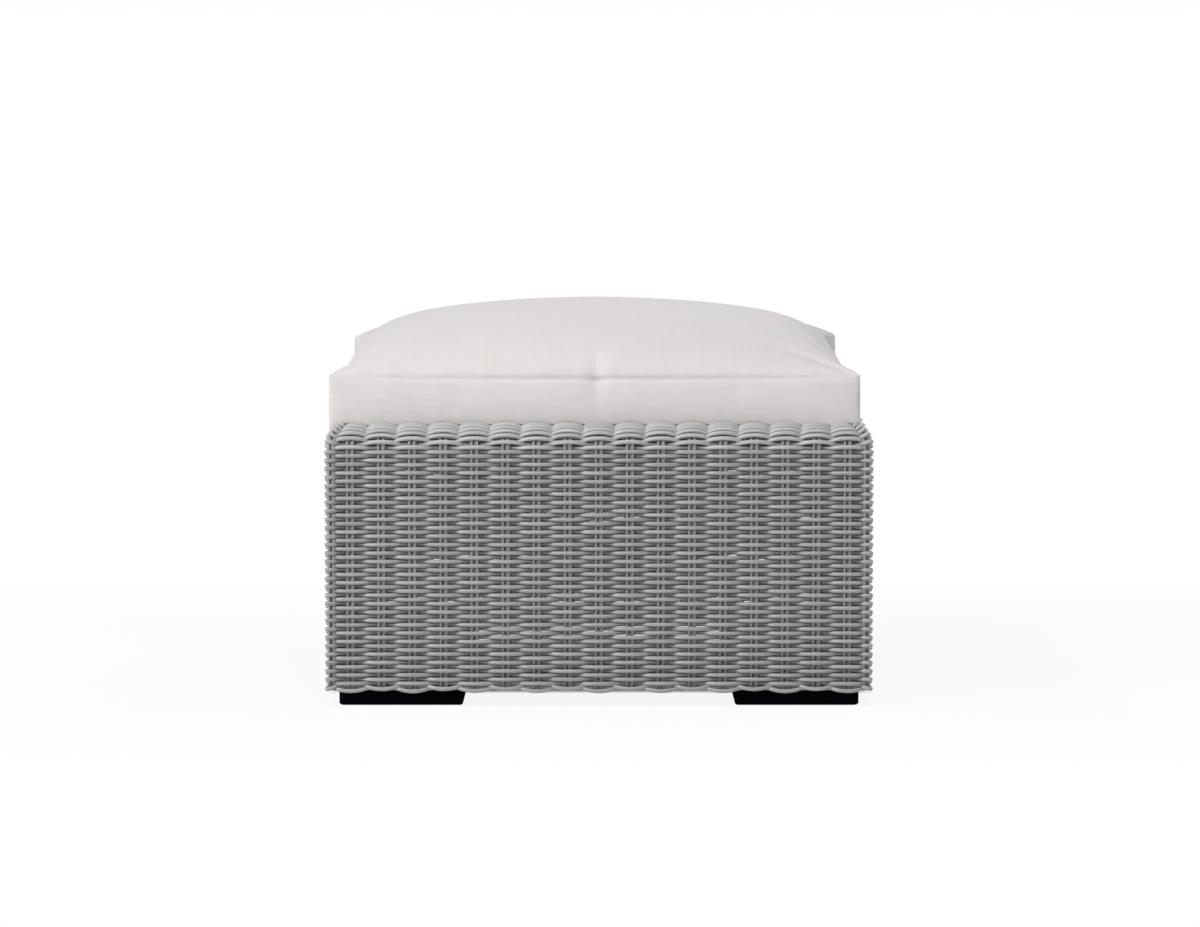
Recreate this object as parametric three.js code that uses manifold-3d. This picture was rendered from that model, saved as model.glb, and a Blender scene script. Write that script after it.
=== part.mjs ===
// Square outdoor ottoman: resin wicker woven over a welded aluminium frame, with a loose box cushion.
// Millimetres, +Z up. The origin is on the floor under the middle of the base. The front faces -Y.

import * as THREE from "three";
import { mergeVertices } from "three/addons/utils/BufferGeometryUtils.js";
import Module from "manifold-3d";

const wasm = await Module();
wasm.setup();

// Base as a whole, measured over the weave
const BASE_WIDTH = 686;
const BASE_DEPTH = 686;
const RIM_HEIGHT = 355.5;

// Gap between pieces that touch, and how far a cutting shape runs past what it cuts
const CLEARANCE = 0.3;
const OVERRUN = 5;

// Straight steps in a quarter of a rounded corner, and of a tube's small corner
const ARC_STEPS = 3;
const TUBE_CORNER_STEPS = 1;

// Wicker: strand and stake rod diameters, stakes between two corners, and the height of one row
const STRAND = 5.3;
const STAKE_ROD = 4.4;
const STAKES_PER_SIDE = 17;
const CORNER_SPACE_SHARE = 0.65;
const ROW_PITCH = 5.23;
const CORNER_ROUNDING = 2.2;

// Lower edge of the weave: its height between the stakes, and its dip under each stake
const HEM_HEIGHT = 22;
const HEM_DIP = 4.5;

// Rolled border: the hollow between two stakes, where it ends inside the rail, and its facets
const SCALLOP = 3.2;
const ROLL_END_DEGREES = 130;
const ROLL_STEPS = 6;

// Welded frame
const TOP_RAIL_DIAMETER = 28;
const BOTTOM_RAIL_SIZE = 25;
const POST_SIZE = 25;
const TUBE_WALL = 1.5;
const ROUND_TUBE_SIDES = 20;
const COPE_SIDES = 16;

// Deck slats under the cushion, run from the front rail to the back rail
const SLAT_COUNT = 5;
const SLAT_WIDTH = 32;
const SLAT_THICKNESS = 10;
const SLAT_CORNER = 3;
const SLAT_RISE = 10.5;

// Corner feet: two arms under the bottom rails, with ends that lean in towards the floor
const FOOT_HEIGHT = 25;
const FOOT_LENGTH = 161;
const FOOT_WIDTH = 40;
const FOOT_INSET = 17.5;
const FOOT_LEAN = 6.5;
const FOOT_EDGE = 2;
const FOOT_CORNER = 6;

// Screws that hold each foot arm to the rail above it
const SCREW_PLACE = 62;
const SCREW_DIAMETER = 4;
const SCREW_LENGTH = 29;
const SCREW_HEAD_DIAMETER = 9;
const SCREW_HEAD_HEIGHT = 2.6;
const SCREW_SEAT_DEPTH = 5;
const SCREW_SIDES = 8;

// Cushion: how much smaller than the base it is cut, its place on the base, seam and crown
const CUSHION_SHORT_OF_WIDTH = 30;
const CUSHION_SHORT_OF_DEPTH = 31;
const CUSHION_SHIFT_X = -6;
const CUSHION_SHIFT_Y = 9;
const SEAM_OVER_RIM = 53;
const CROWN = 81;
const CROWN_POWER_SHARE = 0.4;
const CORNER_LIFT = 5;
const CORNER_LIFT_POWER = 8;
const DRAW_IN = 10;
const DRAW_IN_SHARE = 0.2;
const CORNER_TUCK = 3.5;
const BOXING_BULGE = 5;
const COVER_THICKNESS = 2;
const CUSHION_STEPS = 14;

// Filling: foam slab with a fibre pad above and below it
const FOAM_THICKNESS = 42;
const FOAM_CORNER = 24;
const PAD_OVER_RIM = 6.5;
const PAD_SPACE = 1.0;

// Zip across the back of the cushion cover
const ZIP_LENGTH = 440;
const ZIP_OVER_RIM = 25.5;
const ZIP_TAPE_WIDTH = 24;
const ZIP_TAPE_THICKNESS = 1;
const ZIP_BAND_MARGIN = 3;
const COIL_WIDTH = 5;
const COIL_HEIGHT = 1.6;
const SLIDER_LENGTH = 12;
const SLIDER_WIDTH = 10;
const SLIDER_NOSE_SHARE = 0.55;
const SLIDER_PLATE = 1;
const SLIDER_END_SPACE = 6;
const BAIL_LENGTH = 8.6;
const BAIL_WIDTH = 1.6;
const BAIL_THICKNESS = 1;
const PULL_LENGTH = 26;
const PULL_WIDTH = 6;
const PULL_THICKNESS = 1;
const PULL_EYE_LENGTH = 6.6;
const PULL_EYE_WIDTH = 3;

// Sizes that follow from the ones above
const HALF_WIDTH = BASE_WIDTH / 2;
const HALF_DEPTH = BASE_DEPTH / 2;
const WALL = 2 * STRAND + STAKE_ROD;
const ROLL_RADIUS = TOP_RAIL_DIAMETER / 2 + CLEARANCE + WALL;
const RAIL_HEIGHT = RIM_HEIGHT - ROLL_RADIUS;
const MITRE_GAP = CLEARANCE / Math.SQRT2;
const BOTTOM_RAIL_BASE = FOOT_HEIGHT + CLEARANCE;
const BOTTOM_RAIL_TOP = BOTTOM_RAIL_BASE + BOTTOM_RAIL_SIZE;
const BOTTOM_RAIL_OFFSET = WALL + CLEARANCE + BOTTOM_RAIL_SIZE / 2;
const SLAT_TOP = RAIL_HEIGHT + SLAT_RISE;
const CUSHION_BASE = SLAT_TOP + CLEARANCE;
const CUSHION_WIDTH = BASE_WIDTH - CUSHION_SHORT_OF_WIDTH;
const CUSHION_DEPTH = BASE_DEPTH - CUSHION_SHORT_OF_DEPTH;
const SEAM_HEIGHT = RIM_HEIGHT + SEAM_OVER_RIM;
const FOAM_BASE = RIM_HEIGHT + PAD_OVER_RIM;
const FOAM_TOP = FOAM_BASE + FOAM_THICKNESS;
const ZIP_HEIGHT = RIM_HEIGHT + ZIP_OVER_RIM;
const ZIP_BAND = ZIP_TAPE_WIDTH / 2 + ZIP_BAND_MARGIN;
const ZIP_FACE = CUSHION_SHIFT_Y + CUSHION_DEPTH / 2 - DRAW_IN + BOXING_BULGE;

const FINISHES = {
  wicker: { color: 0x7b7b7b, roughness: 0.55, metalness: 0 },
  aluminium: { color: 0x55585a, roughness: 0.45, metalness: 0.6 },
  foot: { color: 0x0b0d10, roughness: 0.5, metalness: 0 },
  screw: { color: 0xa8acb0, roughness: 0.3, metalness: 0.9 },
  cover: { color: 0xe0dcd9, roughness: 0.9, metalness: 0 },
  foam: { color: 0xe8dfb8, roughness: 0.95, metalness: 0 },
  fibre: { color: 0xf2f2f0, roughness: 0.95, metalness: 0 },
  zip: { color: 0xd4d0cc, roughness: 0.7, metalness: 0 },
  zip_metal: { color: 0xb9bcc0, roughness: 0.3, metalness: 0.9 },
};

// Collects triangles whose corners are [x, y, z], and turns them into a geometry
class Skin {
  constructor() {
    this.corners = [];
  }

  triangle(a, b, c) {
    this.corners.push(...a, ...b, ...c);
  }

  quad(a, b, c, d) {
    this.triangle(a, b, c);
    this.triangle(a, c, d);
  }

  // Fills a flat outline, with its face towards the direction facing
  polygon(points, facing) {
    const sizes = facing.map(Math.abs);
    const dropped = sizes.indexOf(Math.max(...sizes));
    const kept = [0, 1, 2].filter((axis) => axis !== dropped);
    const flat = points.map((point) => new THREE.Vector2(point[kept[0]], point[kept[1]]));
    const towards = new THREE.Vector3(...facing);
    for (const corners of THREE.ShapeUtils.triangulateShape(flat, [])) {
      const [a, b, c] = corners.map((index) => new THREE.Vector3(...points[index]));
      const normal = b.clone().sub(a).cross(c.clone().sub(a));
      if (normal.dot(towards) > 0) {
        this.triangle(a.toArray(), b.toArray(), c.toArray());
      } else {
        this.triangle(a.toArray(), c.toArray(), b.toArray());
      }
    }
  }

  geometry() {
    const geometry = new THREE.BufferGeometry();
    geometry.setAttribute("position", new THREE.Float32BufferAttribute(this.corners, 3));
    return mergeVertices(geometry);
  }
}

function toSolid(geometry) {
  const bare = geometry.clone();
  bare.deleteAttribute("normal");
  bare.deleteAttribute("uv");
  const merged = mergeVertices(bare);
  const mesh = new wasm.Mesh({
    numProp: 3,
    vertProperties: new Float32Array(merged.attributes.position.array),
    triVerts: new Uint32Array(merged.index.array),
  });
  return new wasm.Manifold(mesh);
}

function toGeometry(solid) {
  const mesh = solid.getMesh();
  const geometry = new THREE.BufferGeometry();
  geometry.setAttribute("position", new THREE.BufferAttribute(mesh.vertProperties, mesh.numProp));
  geometry.setIndex(new THREE.BufferAttribute(mesh.triVerts, 1));
  return geometry;
}

const ottoman = new THREE.Group();

function addPiece(name, geometry, finish, parent = ottoman) {
  const shaded = geometry.clone();
  shaded.computeVertexNormals();
  const piece = new THREE.Mesh(shaded, new THREE.MeshStandardMaterial(FINISHES[finish]));
  piece.name = name;
  parent.add(piece);
  return piece;
}

// Each side is drawn as the back one, with s along +X and p outwards along +Y, then turned into place
const SIDES = [
  { name: "back", turn: 0, halfS: HALF_WIDTH, halfP: HALF_DEPTH },
  { name: "left", turn: Math.PI / 2, halfS: HALF_DEPTH, halfP: HALF_WIDTH },
  { name: "front", turn: Math.PI, halfS: HALF_WIDTH, halfP: HALF_DEPTH },
  { name: "right", turn: -Math.PI / 2, halfS: HALF_DEPTH, halfP: HALF_WIDTH },
];

// How far along s a side reaches at the distance p, where it meets the next side on a mitre
function mitreAt(side, p) {
  return side.halfS - side.halfP + p - MITRE_GAP;
}

// Stake places along one side, without the corner stakes
function stakePlaces(side) {
  const corner = side.halfS - STRAND - STAKE_ROD / 2;
  const pitch = (2 * corner) / (STAKES_PER_SIDE - 1 + 2 * CORNER_SPACE_SHARE);
  const middle = (STAKES_PER_SIDE - 1) / 2;
  return Array.from({ length: STAKES_PER_SIDE }, (_, k) => (k - middle) * pitch);
}

// Woven wall. At each stake the rows pass in front and behind by turns, and neighbours alternate
function wallGeometry(side) {
  const skin = new Skin();
  const places = stakePlaces(side);
  const lastColumn = places.length + 1;
  const top = RAIL_HEIGHT - CLEARANCE;
  const firstRow = HEM_HEIGHT + ROW_PITCH / 2;
  const rowCount = Math.round((top - firstRow) / ROW_PITCH);
  const rowStep = (top - firstRow) / rowCount;
  const neutral = side.halfP - STRAND / 2;
  const inner = side.halfP - WALL;

  function point(column, p, z) {
    if (column === 0) {
      return [-mitreAt(side, p), p, z];
    }
    if (column === lastColumn) {
      return [mitreAt(side, p), p, z];
    }
    return [places[column - 1], p, z];
  }

  function woven(row, column) {
    const z = firstRow + row * rowStep;
    if (row === rowCount) {
      return point(column, neutral, z);
    }
    const depth = isOver(row, column) ? 0 : STRAND;
    const corner = column === 0 || column === lastColumn ? CORNER_ROUNDING : 0;
    return point(column, side.halfP - depth - corner, z);
  }

  function isOver(row, column) {
    return (row + column) % 2 === 0;
  }

  // Outside of the weave. Each cell is split along its two sunken corners, so a strand stands proud
  for (let row = 0; row < rowCount; row++) {
    for (let column = 0; column < lastColumn; column++) {
      const a = woven(row, column);
      const b = woven(row + 1, column);
      const c = woven(row + 1, column + 1);
      const d = woven(row, column + 1);
      if (isOver(row, column)) {
        skin.quad(b, c, d, a);
      } else {
        skin.quad(a, b, c, d);
      }
    }
  }

  // Scalloped lower edge, with a point at each stake and one between two stakes
  const hem = (p) => {
    const edge = [];
    for (let column = 0; column <= lastColumn; column++) {
      edge.push(point(column, p, HEM_HEIGHT - HEM_DIP));
      if (column < lastColumn) {
        const here = point(column, p, HEM_HEIGHT);
        const next = point(column + 1, p, HEM_HEIGHT);
        edge.push([(here[0] + next[0]) / 2, p, HEM_HEIGHT]);
      }
    }
    return edge;
  };
  const outerHem = hem(neutral);
  const innerHem = hem(inner);
  for (let column = 0; column < lastColumn; column++) {
    const [left, middle, right] = outerHem.slice(2 * column, 2 * column + 3);
    skin.triangle(left, woven(0, column), middle);
    skin.triangle(middle, woven(0, column), woven(0, column + 1));
    skin.triangle(middle, woven(0, column + 1), right);
  }
  for (let k = 0; k < outerHem.length - 1; k++) {
    skin.quad(outerHem[k], outerHem[k + 1], innerHem[k + 1], innerHem[k]);
  }

  // Inside face, upper face and the two mitred ends
  const innerTop = [point(lastColumn, inner, top), point(0, inner, top)];
  skin.polygon([...innerHem, ...innerTop], [0, -1, 0]);
  const upperEdge = Array.from({ length: lastColumn + 1 }, (_, column) => woven(rowCount, column));
  skin.polygon([...upperEdge, ...innerTop], [0, 0, 1]);
  for (const end of [0, lastColumn]) {
    const outline = Array.from({ length: rowCount + 1 }, (_, row) => woven(row, end));
    const hemEnd = end === 0 ? 0 : outerHem.length - 1;
    const topEnd = end === 0 ? innerTop[1] : innerTop[0];
    skin.polygon([outerHem[hemEnd], ...outline, topEnd, innerHem[hemEnd]], [end === 0 ? -1 : 1, -1, 0]);
  }
  return skin.geometry();
}

// Rolled border: the weave carried over the top rail, full over each stake and hollow between two
function borderGeometry(side) {
  const skin = new Skin();
  const places = stakePlaces(side);
  const railP = side.halfP - ROLL_RADIUS;
  const stepAngle = THREE.MathUtils.degToRad(ROLL_END_DEGREES) / ROLL_STEPS;
  const boreRadius = (TOP_RAIL_DIAMETER / 2 + CLEARANCE) / Math.cos(stepAngle / 2);
  const outermost = mitreAt(side, side.halfP);
  const steady = places[places.length - 2];
  const columns = [-outermost];
  for (const place of places) {
    columns.push((columns[columns.length - 1] + place) / 2, place);
  }
  columns.push((places[places.length - 1] + outermost) / 2, outermost);
  const lastColumn = columns.length - 1;

  // Near a corner the columns draw together, so that they reach the mitre side by side
  function point(column, radius, step) {
    const p = railP + radius * Math.cos(step * stepAngle);
    const z = RAIL_HEIGHT + radius * Math.sin(step * stepAngle);
    const place = Math.abs(columns[column]);
    let s = place;
    if (place > steady) {
      s = steady + ((place - steady) * (mitreAt(side, p) - steady)) / (outermost - steady);
    }
    return [Math.sign(columns[column]) * s, p, z];
  }

  function outer(column, step) {
    return point(column, ROLL_RADIUS - (column % 2 === 1 ? SCALLOP : 0), step);
  }

  function bore(column, step) {
    return point(column, boreRadius, step);
  }

  for (let step = 0; step < ROLL_STEPS; step++) {
    for (let column = 0; column < lastColumn; column++) {
      const next = column + 1;
      skin.quad(outer(column, step), outer(column, step + 1), outer(next, step + 1), outer(next, step));
    }
    const [left, right] = [0, lastColumn];
    skin.quad(bore(left, step), bore(right, step), bore(right, step + 1), bore(left, step + 1));
  }
  for (const [step, facing] of [
    [0, [0, 0, -1]],
    [ROLL_STEPS, [0, -Math.sin(ROLL_STEPS * stepAngle), Math.cos(ROLL_STEPS * stepAngle)]],
  ]) {
    const edge = columns.map((_, column) => outer(column, step));
    skin.polygon([...edge, bore(lastColumn, step), bore(0, step)], facing);
  }
  for (const end of [0, lastColumn]) {
    const outline = [];
    for (let step = 0; step <= ROLL_STEPS; step++) {
      outline.push(outer(end, step));
    }
    for (let step = ROLL_STEPS; step >= 0; step--) {
      outline.push(bore(end, step));
    }
    skin.polygon(outline, [end === 0 ? -1 : 1, -1, 0]);
  }
  return skin.geometry();
}

// Open tube along one side, mitred at both ends. Both sections are rings of [p, z] of equal length
function mitredTube(side, outline, bore) {
  const skin = new Skin();
  const at = (end, [p, z]) => [end * mitreAt(side, p), p, z];
  for (let k = 0; k < outline.length; k++) {
    const next = (k + 1) % outline.length;
    const [o, oNext, i, iNext] = [outline[k], outline[next], bore[k], bore[next]];
    skin.quad(at(-1, o), at(-1, oNext), at(1, oNext), at(1, o));
    skin.quad(at(-1, i), at(1, i), at(1, iNext), at(-1, iNext));
    skin.quad(at(1, o), at(1, oNext), at(1, iNext), at(1, i));
    skin.quad(at(-1, o), at(-1, i), at(-1, iNext), at(-1, oNext));
  }
  return skin.geometry();
}

function roundSection(p, z, radius) {
  return Array.from({ length: ROUND_TUBE_SIDES }, (_, k) => {
    const angle = (2 * Math.PI * k) / ROUND_TUBE_SIDES;
    return [p + radius * Math.cos(angle), z + radius * Math.sin(angle)];
  });
}

function squareSection(p, z, half) {
  return [
    [p - half, z - half],
    [p + half, z - half],
    [p + half, z + half],
    [p - half, z + half],
  ];
}

function topRailGeometry(side) {
  const p = side.halfP - ROLL_RADIUS;
  const radius = TOP_RAIL_DIAMETER / 2;
  const bore = roundSection(p, RAIL_HEIGHT, radius - TUBE_WALL);
  return mitredTube(side, roundSection(p, RAIL_HEIGHT, radius), bore);
}

// Upright rod of revolution, used to drill holes and as the body of a screw
function rod(radius, z0, z1) {
  const geometry = new THREE.CylinderGeometry(radius, radius, z1 - z0, SCREW_SIDES);
  geometry.rotateX(Math.PI / 2);
  geometry.translate(0, 0, (z0 + z1) / 2);
  return geometry;
}

// The bottom rail, drilled from below for the screw of the foot arm at each end
function bottomRailGeometry(side) {
  const p = side.halfP - BOTTOM_RAIL_OFFSET;
  const z = BOTTOM_RAIL_BASE + BOTTOM_RAIL_SIZE / 2;
  const half = BOTTOM_RAIL_SIZE / 2;
  const tube = mitredTube(side, squareSection(p, z, half), squareSection(p, z, half - TUBE_WALL));
  let rail = toSolid(tube);
  const place = side.halfS - FOOT_INSET - SCREW_PLACE;
  for (const s of [-place, place]) {
    const drill = rod(SCREW_DIAMETER / 2 + CLEARANCE, FOOT_HEIGHT, z);
    drill.translate(s, p, 0);
    rail = rail.subtract(toSolid(drill));
  }
  return toGeometry(rail);
}

function roundedRectangle(halfX, halfY, corner) {
  const shape = new THREE.Shape();
  shape.moveTo(halfX, corner - halfY);
  shape.lineTo(halfX, halfY - corner);
  shape.absarc(halfX - corner, halfY - corner, corner, 0, Math.PI / 2);
  shape.absarc(corner - halfX, halfY - corner, corner, Math.PI / 2, Math.PI);
  shape.absarc(corner - halfX, corner - halfY, corner, Math.PI, 1.5 * Math.PI);
  shape.absarc(halfX - corner, corner - halfY, corner, 1.5 * Math.PI, 2 * Math.PI);
  return shape;
}

function upright(shape, z0, z1, curveSegments = ARC_STEPS) {
  const options = { depth: z1 - z0, bevelEnabled: false, curveSegments };
  const geometry = new THREE.ExtrudeGeometry(shape, options);
  geometry.translate(0, 0, z0);
  return geometry;
}

// Plate whose outline lies in the XZ plane, from y0 out to y1
function plateAlongY(shape, y0, y1, curveSegments = ARC_STEPS) {
  const geometry = upright(shape, 0, y1 - y0, curveSegments);
  geometry.rotateX(Math.PI / 2);
  geometry.translate(0, y1, 0);
  return geometry;
}

function box(x0, x1, y0, y1, z0, z1) {
  const geometry = new THREE.BoxGeometry(x1 - x0, y1 - y0, z1 - z0);
  geometry.translate((x0 + x1) / 2, (y0 + y1) / 2, (z0 + z1) / 2);
  return geometry;
}

function postGeometry() {
  const half = POST_SIZE / 2;
  const outline = roundedRectangle(half, half, TUBE_WALL);
  outline.holes.push(roundedRectangle(half - TUBE_WALL, half - TUBE_WALL, TUBE_WALL / 2));
  const top = RAIL_HEIGHT - TOP_RAIL_DIAMETER / 2 - CLEARANCE;
  return upright(outline, BOTTOM_RAIL_TOP + CLEARANCE, top, TUBE_CORNER_STEPS);
}

// Rod along X that clears something round of the given radius, centred on the line y, z
function clearingRod(radius, y, z, halfLength, sides) {
  const clear = radius / Math.cos(Math.PI / sides);
  const geometry = new THREE.CylinderGeometry(clear, clear, 2 * halfLength, sides);
  geometry.rotateZ(Math.PI / 2);
  geometry.translate(0, y, z);
  return geometry;
}

// Flat oval tube, cut round at both ends to sit against the rails
function slatGeometry() {
  const railY = HALF_DEPTH - ROLL_RADIUS;
  const outline = roundedRectangle(SLAT_WIDTH / 2, SLAT_THICKNESS / 2, SLAT_CORNER);
  const hollow = roundedRectangle(
    SLAT_WIDTH / 2 - TUBE_WALL,
    SLAT_THICKNESS / 2 - TUBE_WALL,
    SLAT_CORNER - TUBE_WALL,
  );
  outline.holes.push(hollow);
  const tube = plateAlongY(outline, -railY, railY, TUBE_CORNER_STEPS);
  tube.translate(0, 0, SLAT_TOP - SLAT_THICKNESS / 2);
  let slat = toSolid(tube);
  for (const y of [-railY, railY]) {
    const radius = TOP_RAIL_DIAMETER / 2 + CLEARANCE;
    slat = slat.subtract(toSolid(clearingRod(radius, y, RAIL_HEIGHT, SLAT_WIDTH, COPE_SIDES)));
  }
  return toGeometry(slat);
}

// Outline of a foot at one height. The outer corner is at the origin and the arms run to -X and -Y
function footOutline(z, inset) {
  const reach = FOOT_LENGTH - FOOT_LEAN * (1 - z / FOOT_HEIGHT) - inset;
  const width = FOOT_WIDTH - inset;
  const outline = [];
  for (let k = 0; k <= ARC_STEPS; k++) {
    const angle = ((Math.PI / 2) * k) / ARC_STEPS;
    const x = FOOT_CORNER * (Math.cos(angle) - 1) - inset;
    const y = FOOT_CORNER * (Math.sin(angle) - 1) - inset;
    outline.push([x, y, z]);
  }
  outline.push([-reach, -inset, z], [-reach, -width, z], [-width, -width, z]);
  outline.push([-width, -reach, z], [-inset, -reach, z]);
  return outline;
}

function footGeometry() {
  const skin = new Skin();
  const layers = [footOutline(0, FOOT_EDGE), footOutline(FOOT_EDGE, 0), footOutline(FOOT_HEIGHT, 0)];
  for (let layer = 0; layer < layers.length - 1; layer++) {
    const [low, high] = [layers[layer], layers[layer + 1]];
    low.forEach((corner, k) => {
      const next = (k + 1) % low.length;
      skin.quad(corner, low[next], high[next], high[k]);
    });
  }
  skin.polygon(layers[0], [0, 0, -1]);
  skin.polygon(layers[layers.length - 1], [0, 0, 1]);
  let foot = toSolid(skin.geometry());
  for (const [x, y] of footScrewPlaces()) {
    const hole = rod(SCREW_DIAMETER / 2 + CLEARANCE, -OVERRUN, FOOT_HEIGHT + OVERRUN);
    const seat = rod(SCREW_HEAD_DIAMETER / 2 + CLEARANCE, -OVERRUN, SCREW_SEAT_DEPTH);
    for (const cutter of [hole, seat]) {
      cutter.translate(x, y, 0);
      foot = foot.subtract(toSolid(cutter));
    }
  }
  return toGeometry(foot);
}

// Screw places in a foot, in line with the middle of the rail above each arm
function footScrewPlaces() {
  const inward = BOTTOM_RAIL_OFFSET - FOOT_INSET;
  return [
    [-SCREW_PLACE, -inward],
    [-inward, -SCREW_PLACE],
  ];
}

function screwGeometry() {
  const headTop = SCREW_SEAT_DEPTH - CLEARANCE;
  const headBase = headTop - SCREW_HEAD_HEIGHT;
  const shank = SCREW_DIAMETER / 2;
  const tip = headTop + SCREW_LENGTH;
  const profile = [
    [0, headBase],
    [SCREW_HEAD_DIAMETER / 2 - CLEARANCE, headBase],
    [SCREW_HEAD_DIAMETER / 2, headBase + CLEARANCE],
    [SCREW_HEAD_DIAMETER / 2, headTop],
    [shank, headTop],
    [shank, tip - SCREW_DIAMETER],
    [0, tip],
  ];
  const points = profile.map(([r, z]) => new THREE.Vector2(r, z));
  const geometry = new THREE.LatheGeometry(points, SCREW_SIDES);
  geometry.rotateX(Math.PI / 2);
  return geometry;
}

// Closed form of the cushion, or of what lies inside it at a distance inset from its outside
function cushionForm(inset) {
  const skin = new Skin();
  const n = CUSHION_STEPS;
  const halfX = CUSHION_WIDTH / 2 - inset;
  const halfY = CUSHION_DEPTH / 2 - inset;
  const unit = (k) => Math.sin((Math.PI / 2) * ((2 * k) / n - 1));

  // 1 along the drawn-in middle of a side, falling to 0 at its corners
  function drawn(t) {
    const rest = Math.min(1, (1 - Math.abs(t)) / DRAW_IN_SHARE);
    return rest * rest * (3 - 2 * rest);
  }

  function plan(u, v, bulge) {
    const atCorner = Math.abs(u) === 1 && Math.abs(v) === 1;
    const spread = atCorner ? bulge - CORNER_TUCK : bulge;
    const x = u * (halfX - DRAW_IN * drawn(v) * Math.abs(u)) + (Math.abs(u) === 1 ? u * spread : 0);
    const y = v * (halfY - DRAW_IN * drawn(u) * Math.abs(v)) + (Math.abs(v) === 1 ? v * spread : 0);
    return [x + CUSHION_SHIFT_X, y + CUSHION_SHIFT_Y];
  }

  function seam(u, v) {
    return SEAM_HEIGHT + CORNER_LIFT * Math.abs(u * v) ** CORNER_LIFT_POWER - inset;
  }

  function crowned(i, j) {
    const [u, v] = [unit(i), unit(j)];
    const dome = ((1 - u * u) * (1 - v * v)) ** CROWN_POWER_SHARE;
    return [...plan(u, v, 0), seam(u, v) + CROWN * dome];
  }

  // Places round the edge of the top panel, anticlockwise from above
  const edge = [];
  for (let k = 0; k < n; k++) {
    edge.push([k, 0]);
  }
  for (let k = 0; k < n; k++) {
    edge.push([n, k]);
  }
  for (let k = n; k > 0; k--) {
    edge.push([k, n]);
  }
  for (let k = n; k > 0; k--) {
    edge.push([0, k]);
  }
  const ring = (z, bulge) => edge.map(([i, j]) => [...plan(unit(i), unit(j), bulge), z]);

  for (let i = 0; i < n; i++) {
    for (let j = 0; j < n; j++) {
      skin.quad(crowned(i, j), crowned(i + 1, j), crowned(i + 1, j + 1), crowned(i, j + 1));
    }
  }
  const rings = [
    ring(CUSHION_BASE + inset, 0),
    ring(ZIP_HEIGHT - ZIP_BAND, BOXING_BULGE),
    ring(ZIP_HEIGHT + ZIP_BAND, BOXING_BULGE),
    edge.map(([i, j]) => crowned(i, j)),
  ];
  for (let level = 0; level < rings.length - 1; level++) {
    const [low, high] = [rings[level], rings[level + 1]];
    low.forEach((corner, k) => {
      const next = (k + 1) % low.length;
      skin.quad(corner, low[next], high[next], high[k]);
    });
  }
  skin.polygon(rings[0], [0, 0, -1]);
  return toSolid(skin.geometry());
}

// Ring that follows the rolled border and stands off it by the distance away
function borderEnvelope(away) {
  const radius = ROLL_RADIUS + away;
  const steps = 2 * ROUND_TUBE_SIDES;
  let ring = null;
  for (const side of SIDES) {
    const halfLength = side.halfS + OVERRUN;
    const y = side.halfP - ROLL_RADIUS;
    const bar = clearingRod(radius, y, RAIL_HEIGHT, halfLength, steps);
    bar.rotateZ(side.turn);
    ring = ring === null ? toSolid(bar) : ring.add(toSolid(bar));
  }
  return ring;
}

function zipSlot() {
  const halfX = ZIP_LENGTH / 2 + CLEARANCE;
  const halfZ = ZIP_TAPE_WIDTH / 2 + CLEARANCE;
  const slot = box(-halfX, halfX, ZIP_FACE - OVERRUN, ZIP_FACE + OVERRUN, -halfZ, halfZ);
  slot.translate(CUSHION_SHIFT_X, 0, ZIP_HEIGHT);
  return toSolid(slot);
}

function coverGeometry() {
  const cavity = cushionForm(COVER_THICKNESS).subtract(borderEnvelope(CLEARANCE + COVER_THICKNESS));
  const outside = cushionForm(0).subtract(borderEnvelope(CLEARANCE));
  return toGeometry(outside.subtract(cavity).subtract(zipSlot()));
}

function foamGeometry() {
  const inward = DRAW_IN + COVER_THICKNESS + CLEARANCE;
  const outline = roundedRectangle(CUSHION_WIDTH / 2 - inward, CUSHION_DEPTH / 2 - inward, FOAM_CORNER);
  const slab = upright(outline, FOAM_BASE, FOAM_TOP);
  slab.translate(CUSHION_SHIFT_X, CUSHION_SHIFT_Y, 0);
  return slab;
}

// Fibre pad between two heights, filling the cover there
function padGeometry(z0, z1) {
  const inset = COVER_THICKNESS + PAD_SPACE;
  const layer = box(-BASE_WIDTH, BASE_WIDTH, -BASE_DEPTH, BASE_DEPTH, z0, z1);
  const filling = cushionForm(inset).subtract(borderEnvelope(CLEARANCE + inset));
  return toGeometry(filling.intersect(toSolid(layer)));
}

// Zip tape with its coil, drawn as one outline in the YZ plane and run along X
function zipTapeGeometry() {
  const back = -ZIP_TAPE_THICKNESS;
  const shape = new THREE.Shape();
  shape.moveTo(back, -ZIP_TAPE_WIDTH / 2);
  shape.lineTo(0, -ZIP_TAPE_WIDTH / 2);
  shape.lineTo(0, -COIL_WIDTH / 2);
  shape.lineTo(COIL_HEIGHT / 2, -COIL_WIDTH / 2);
  shape.lineTo(COIL_HEIGHT, -COIL_WIDTH / 4);
  shape.lineTo(COIL_HEIGHT, COIL_WIDTH / 4);
  shape.lineTo(COIL_HEIGHT / 2, COIL_WIDTH / 2);
  shape.lineTo(0, COIL_WIDTH / 2);
  shape.lineTo(0, ZIP_TAPE_WIDTH / 2);
  shape.lineTo(back, ZIP_TAPE_WIDTH / 2);
  const tape = upright(shape, -ZIP_LENGTH / 2, ZIP_LENGTH / 2);
  tape.rotateX(Math.PI / 2);
  tape.rotateZ(Math.PI / 2);
  return tape;
}

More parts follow.
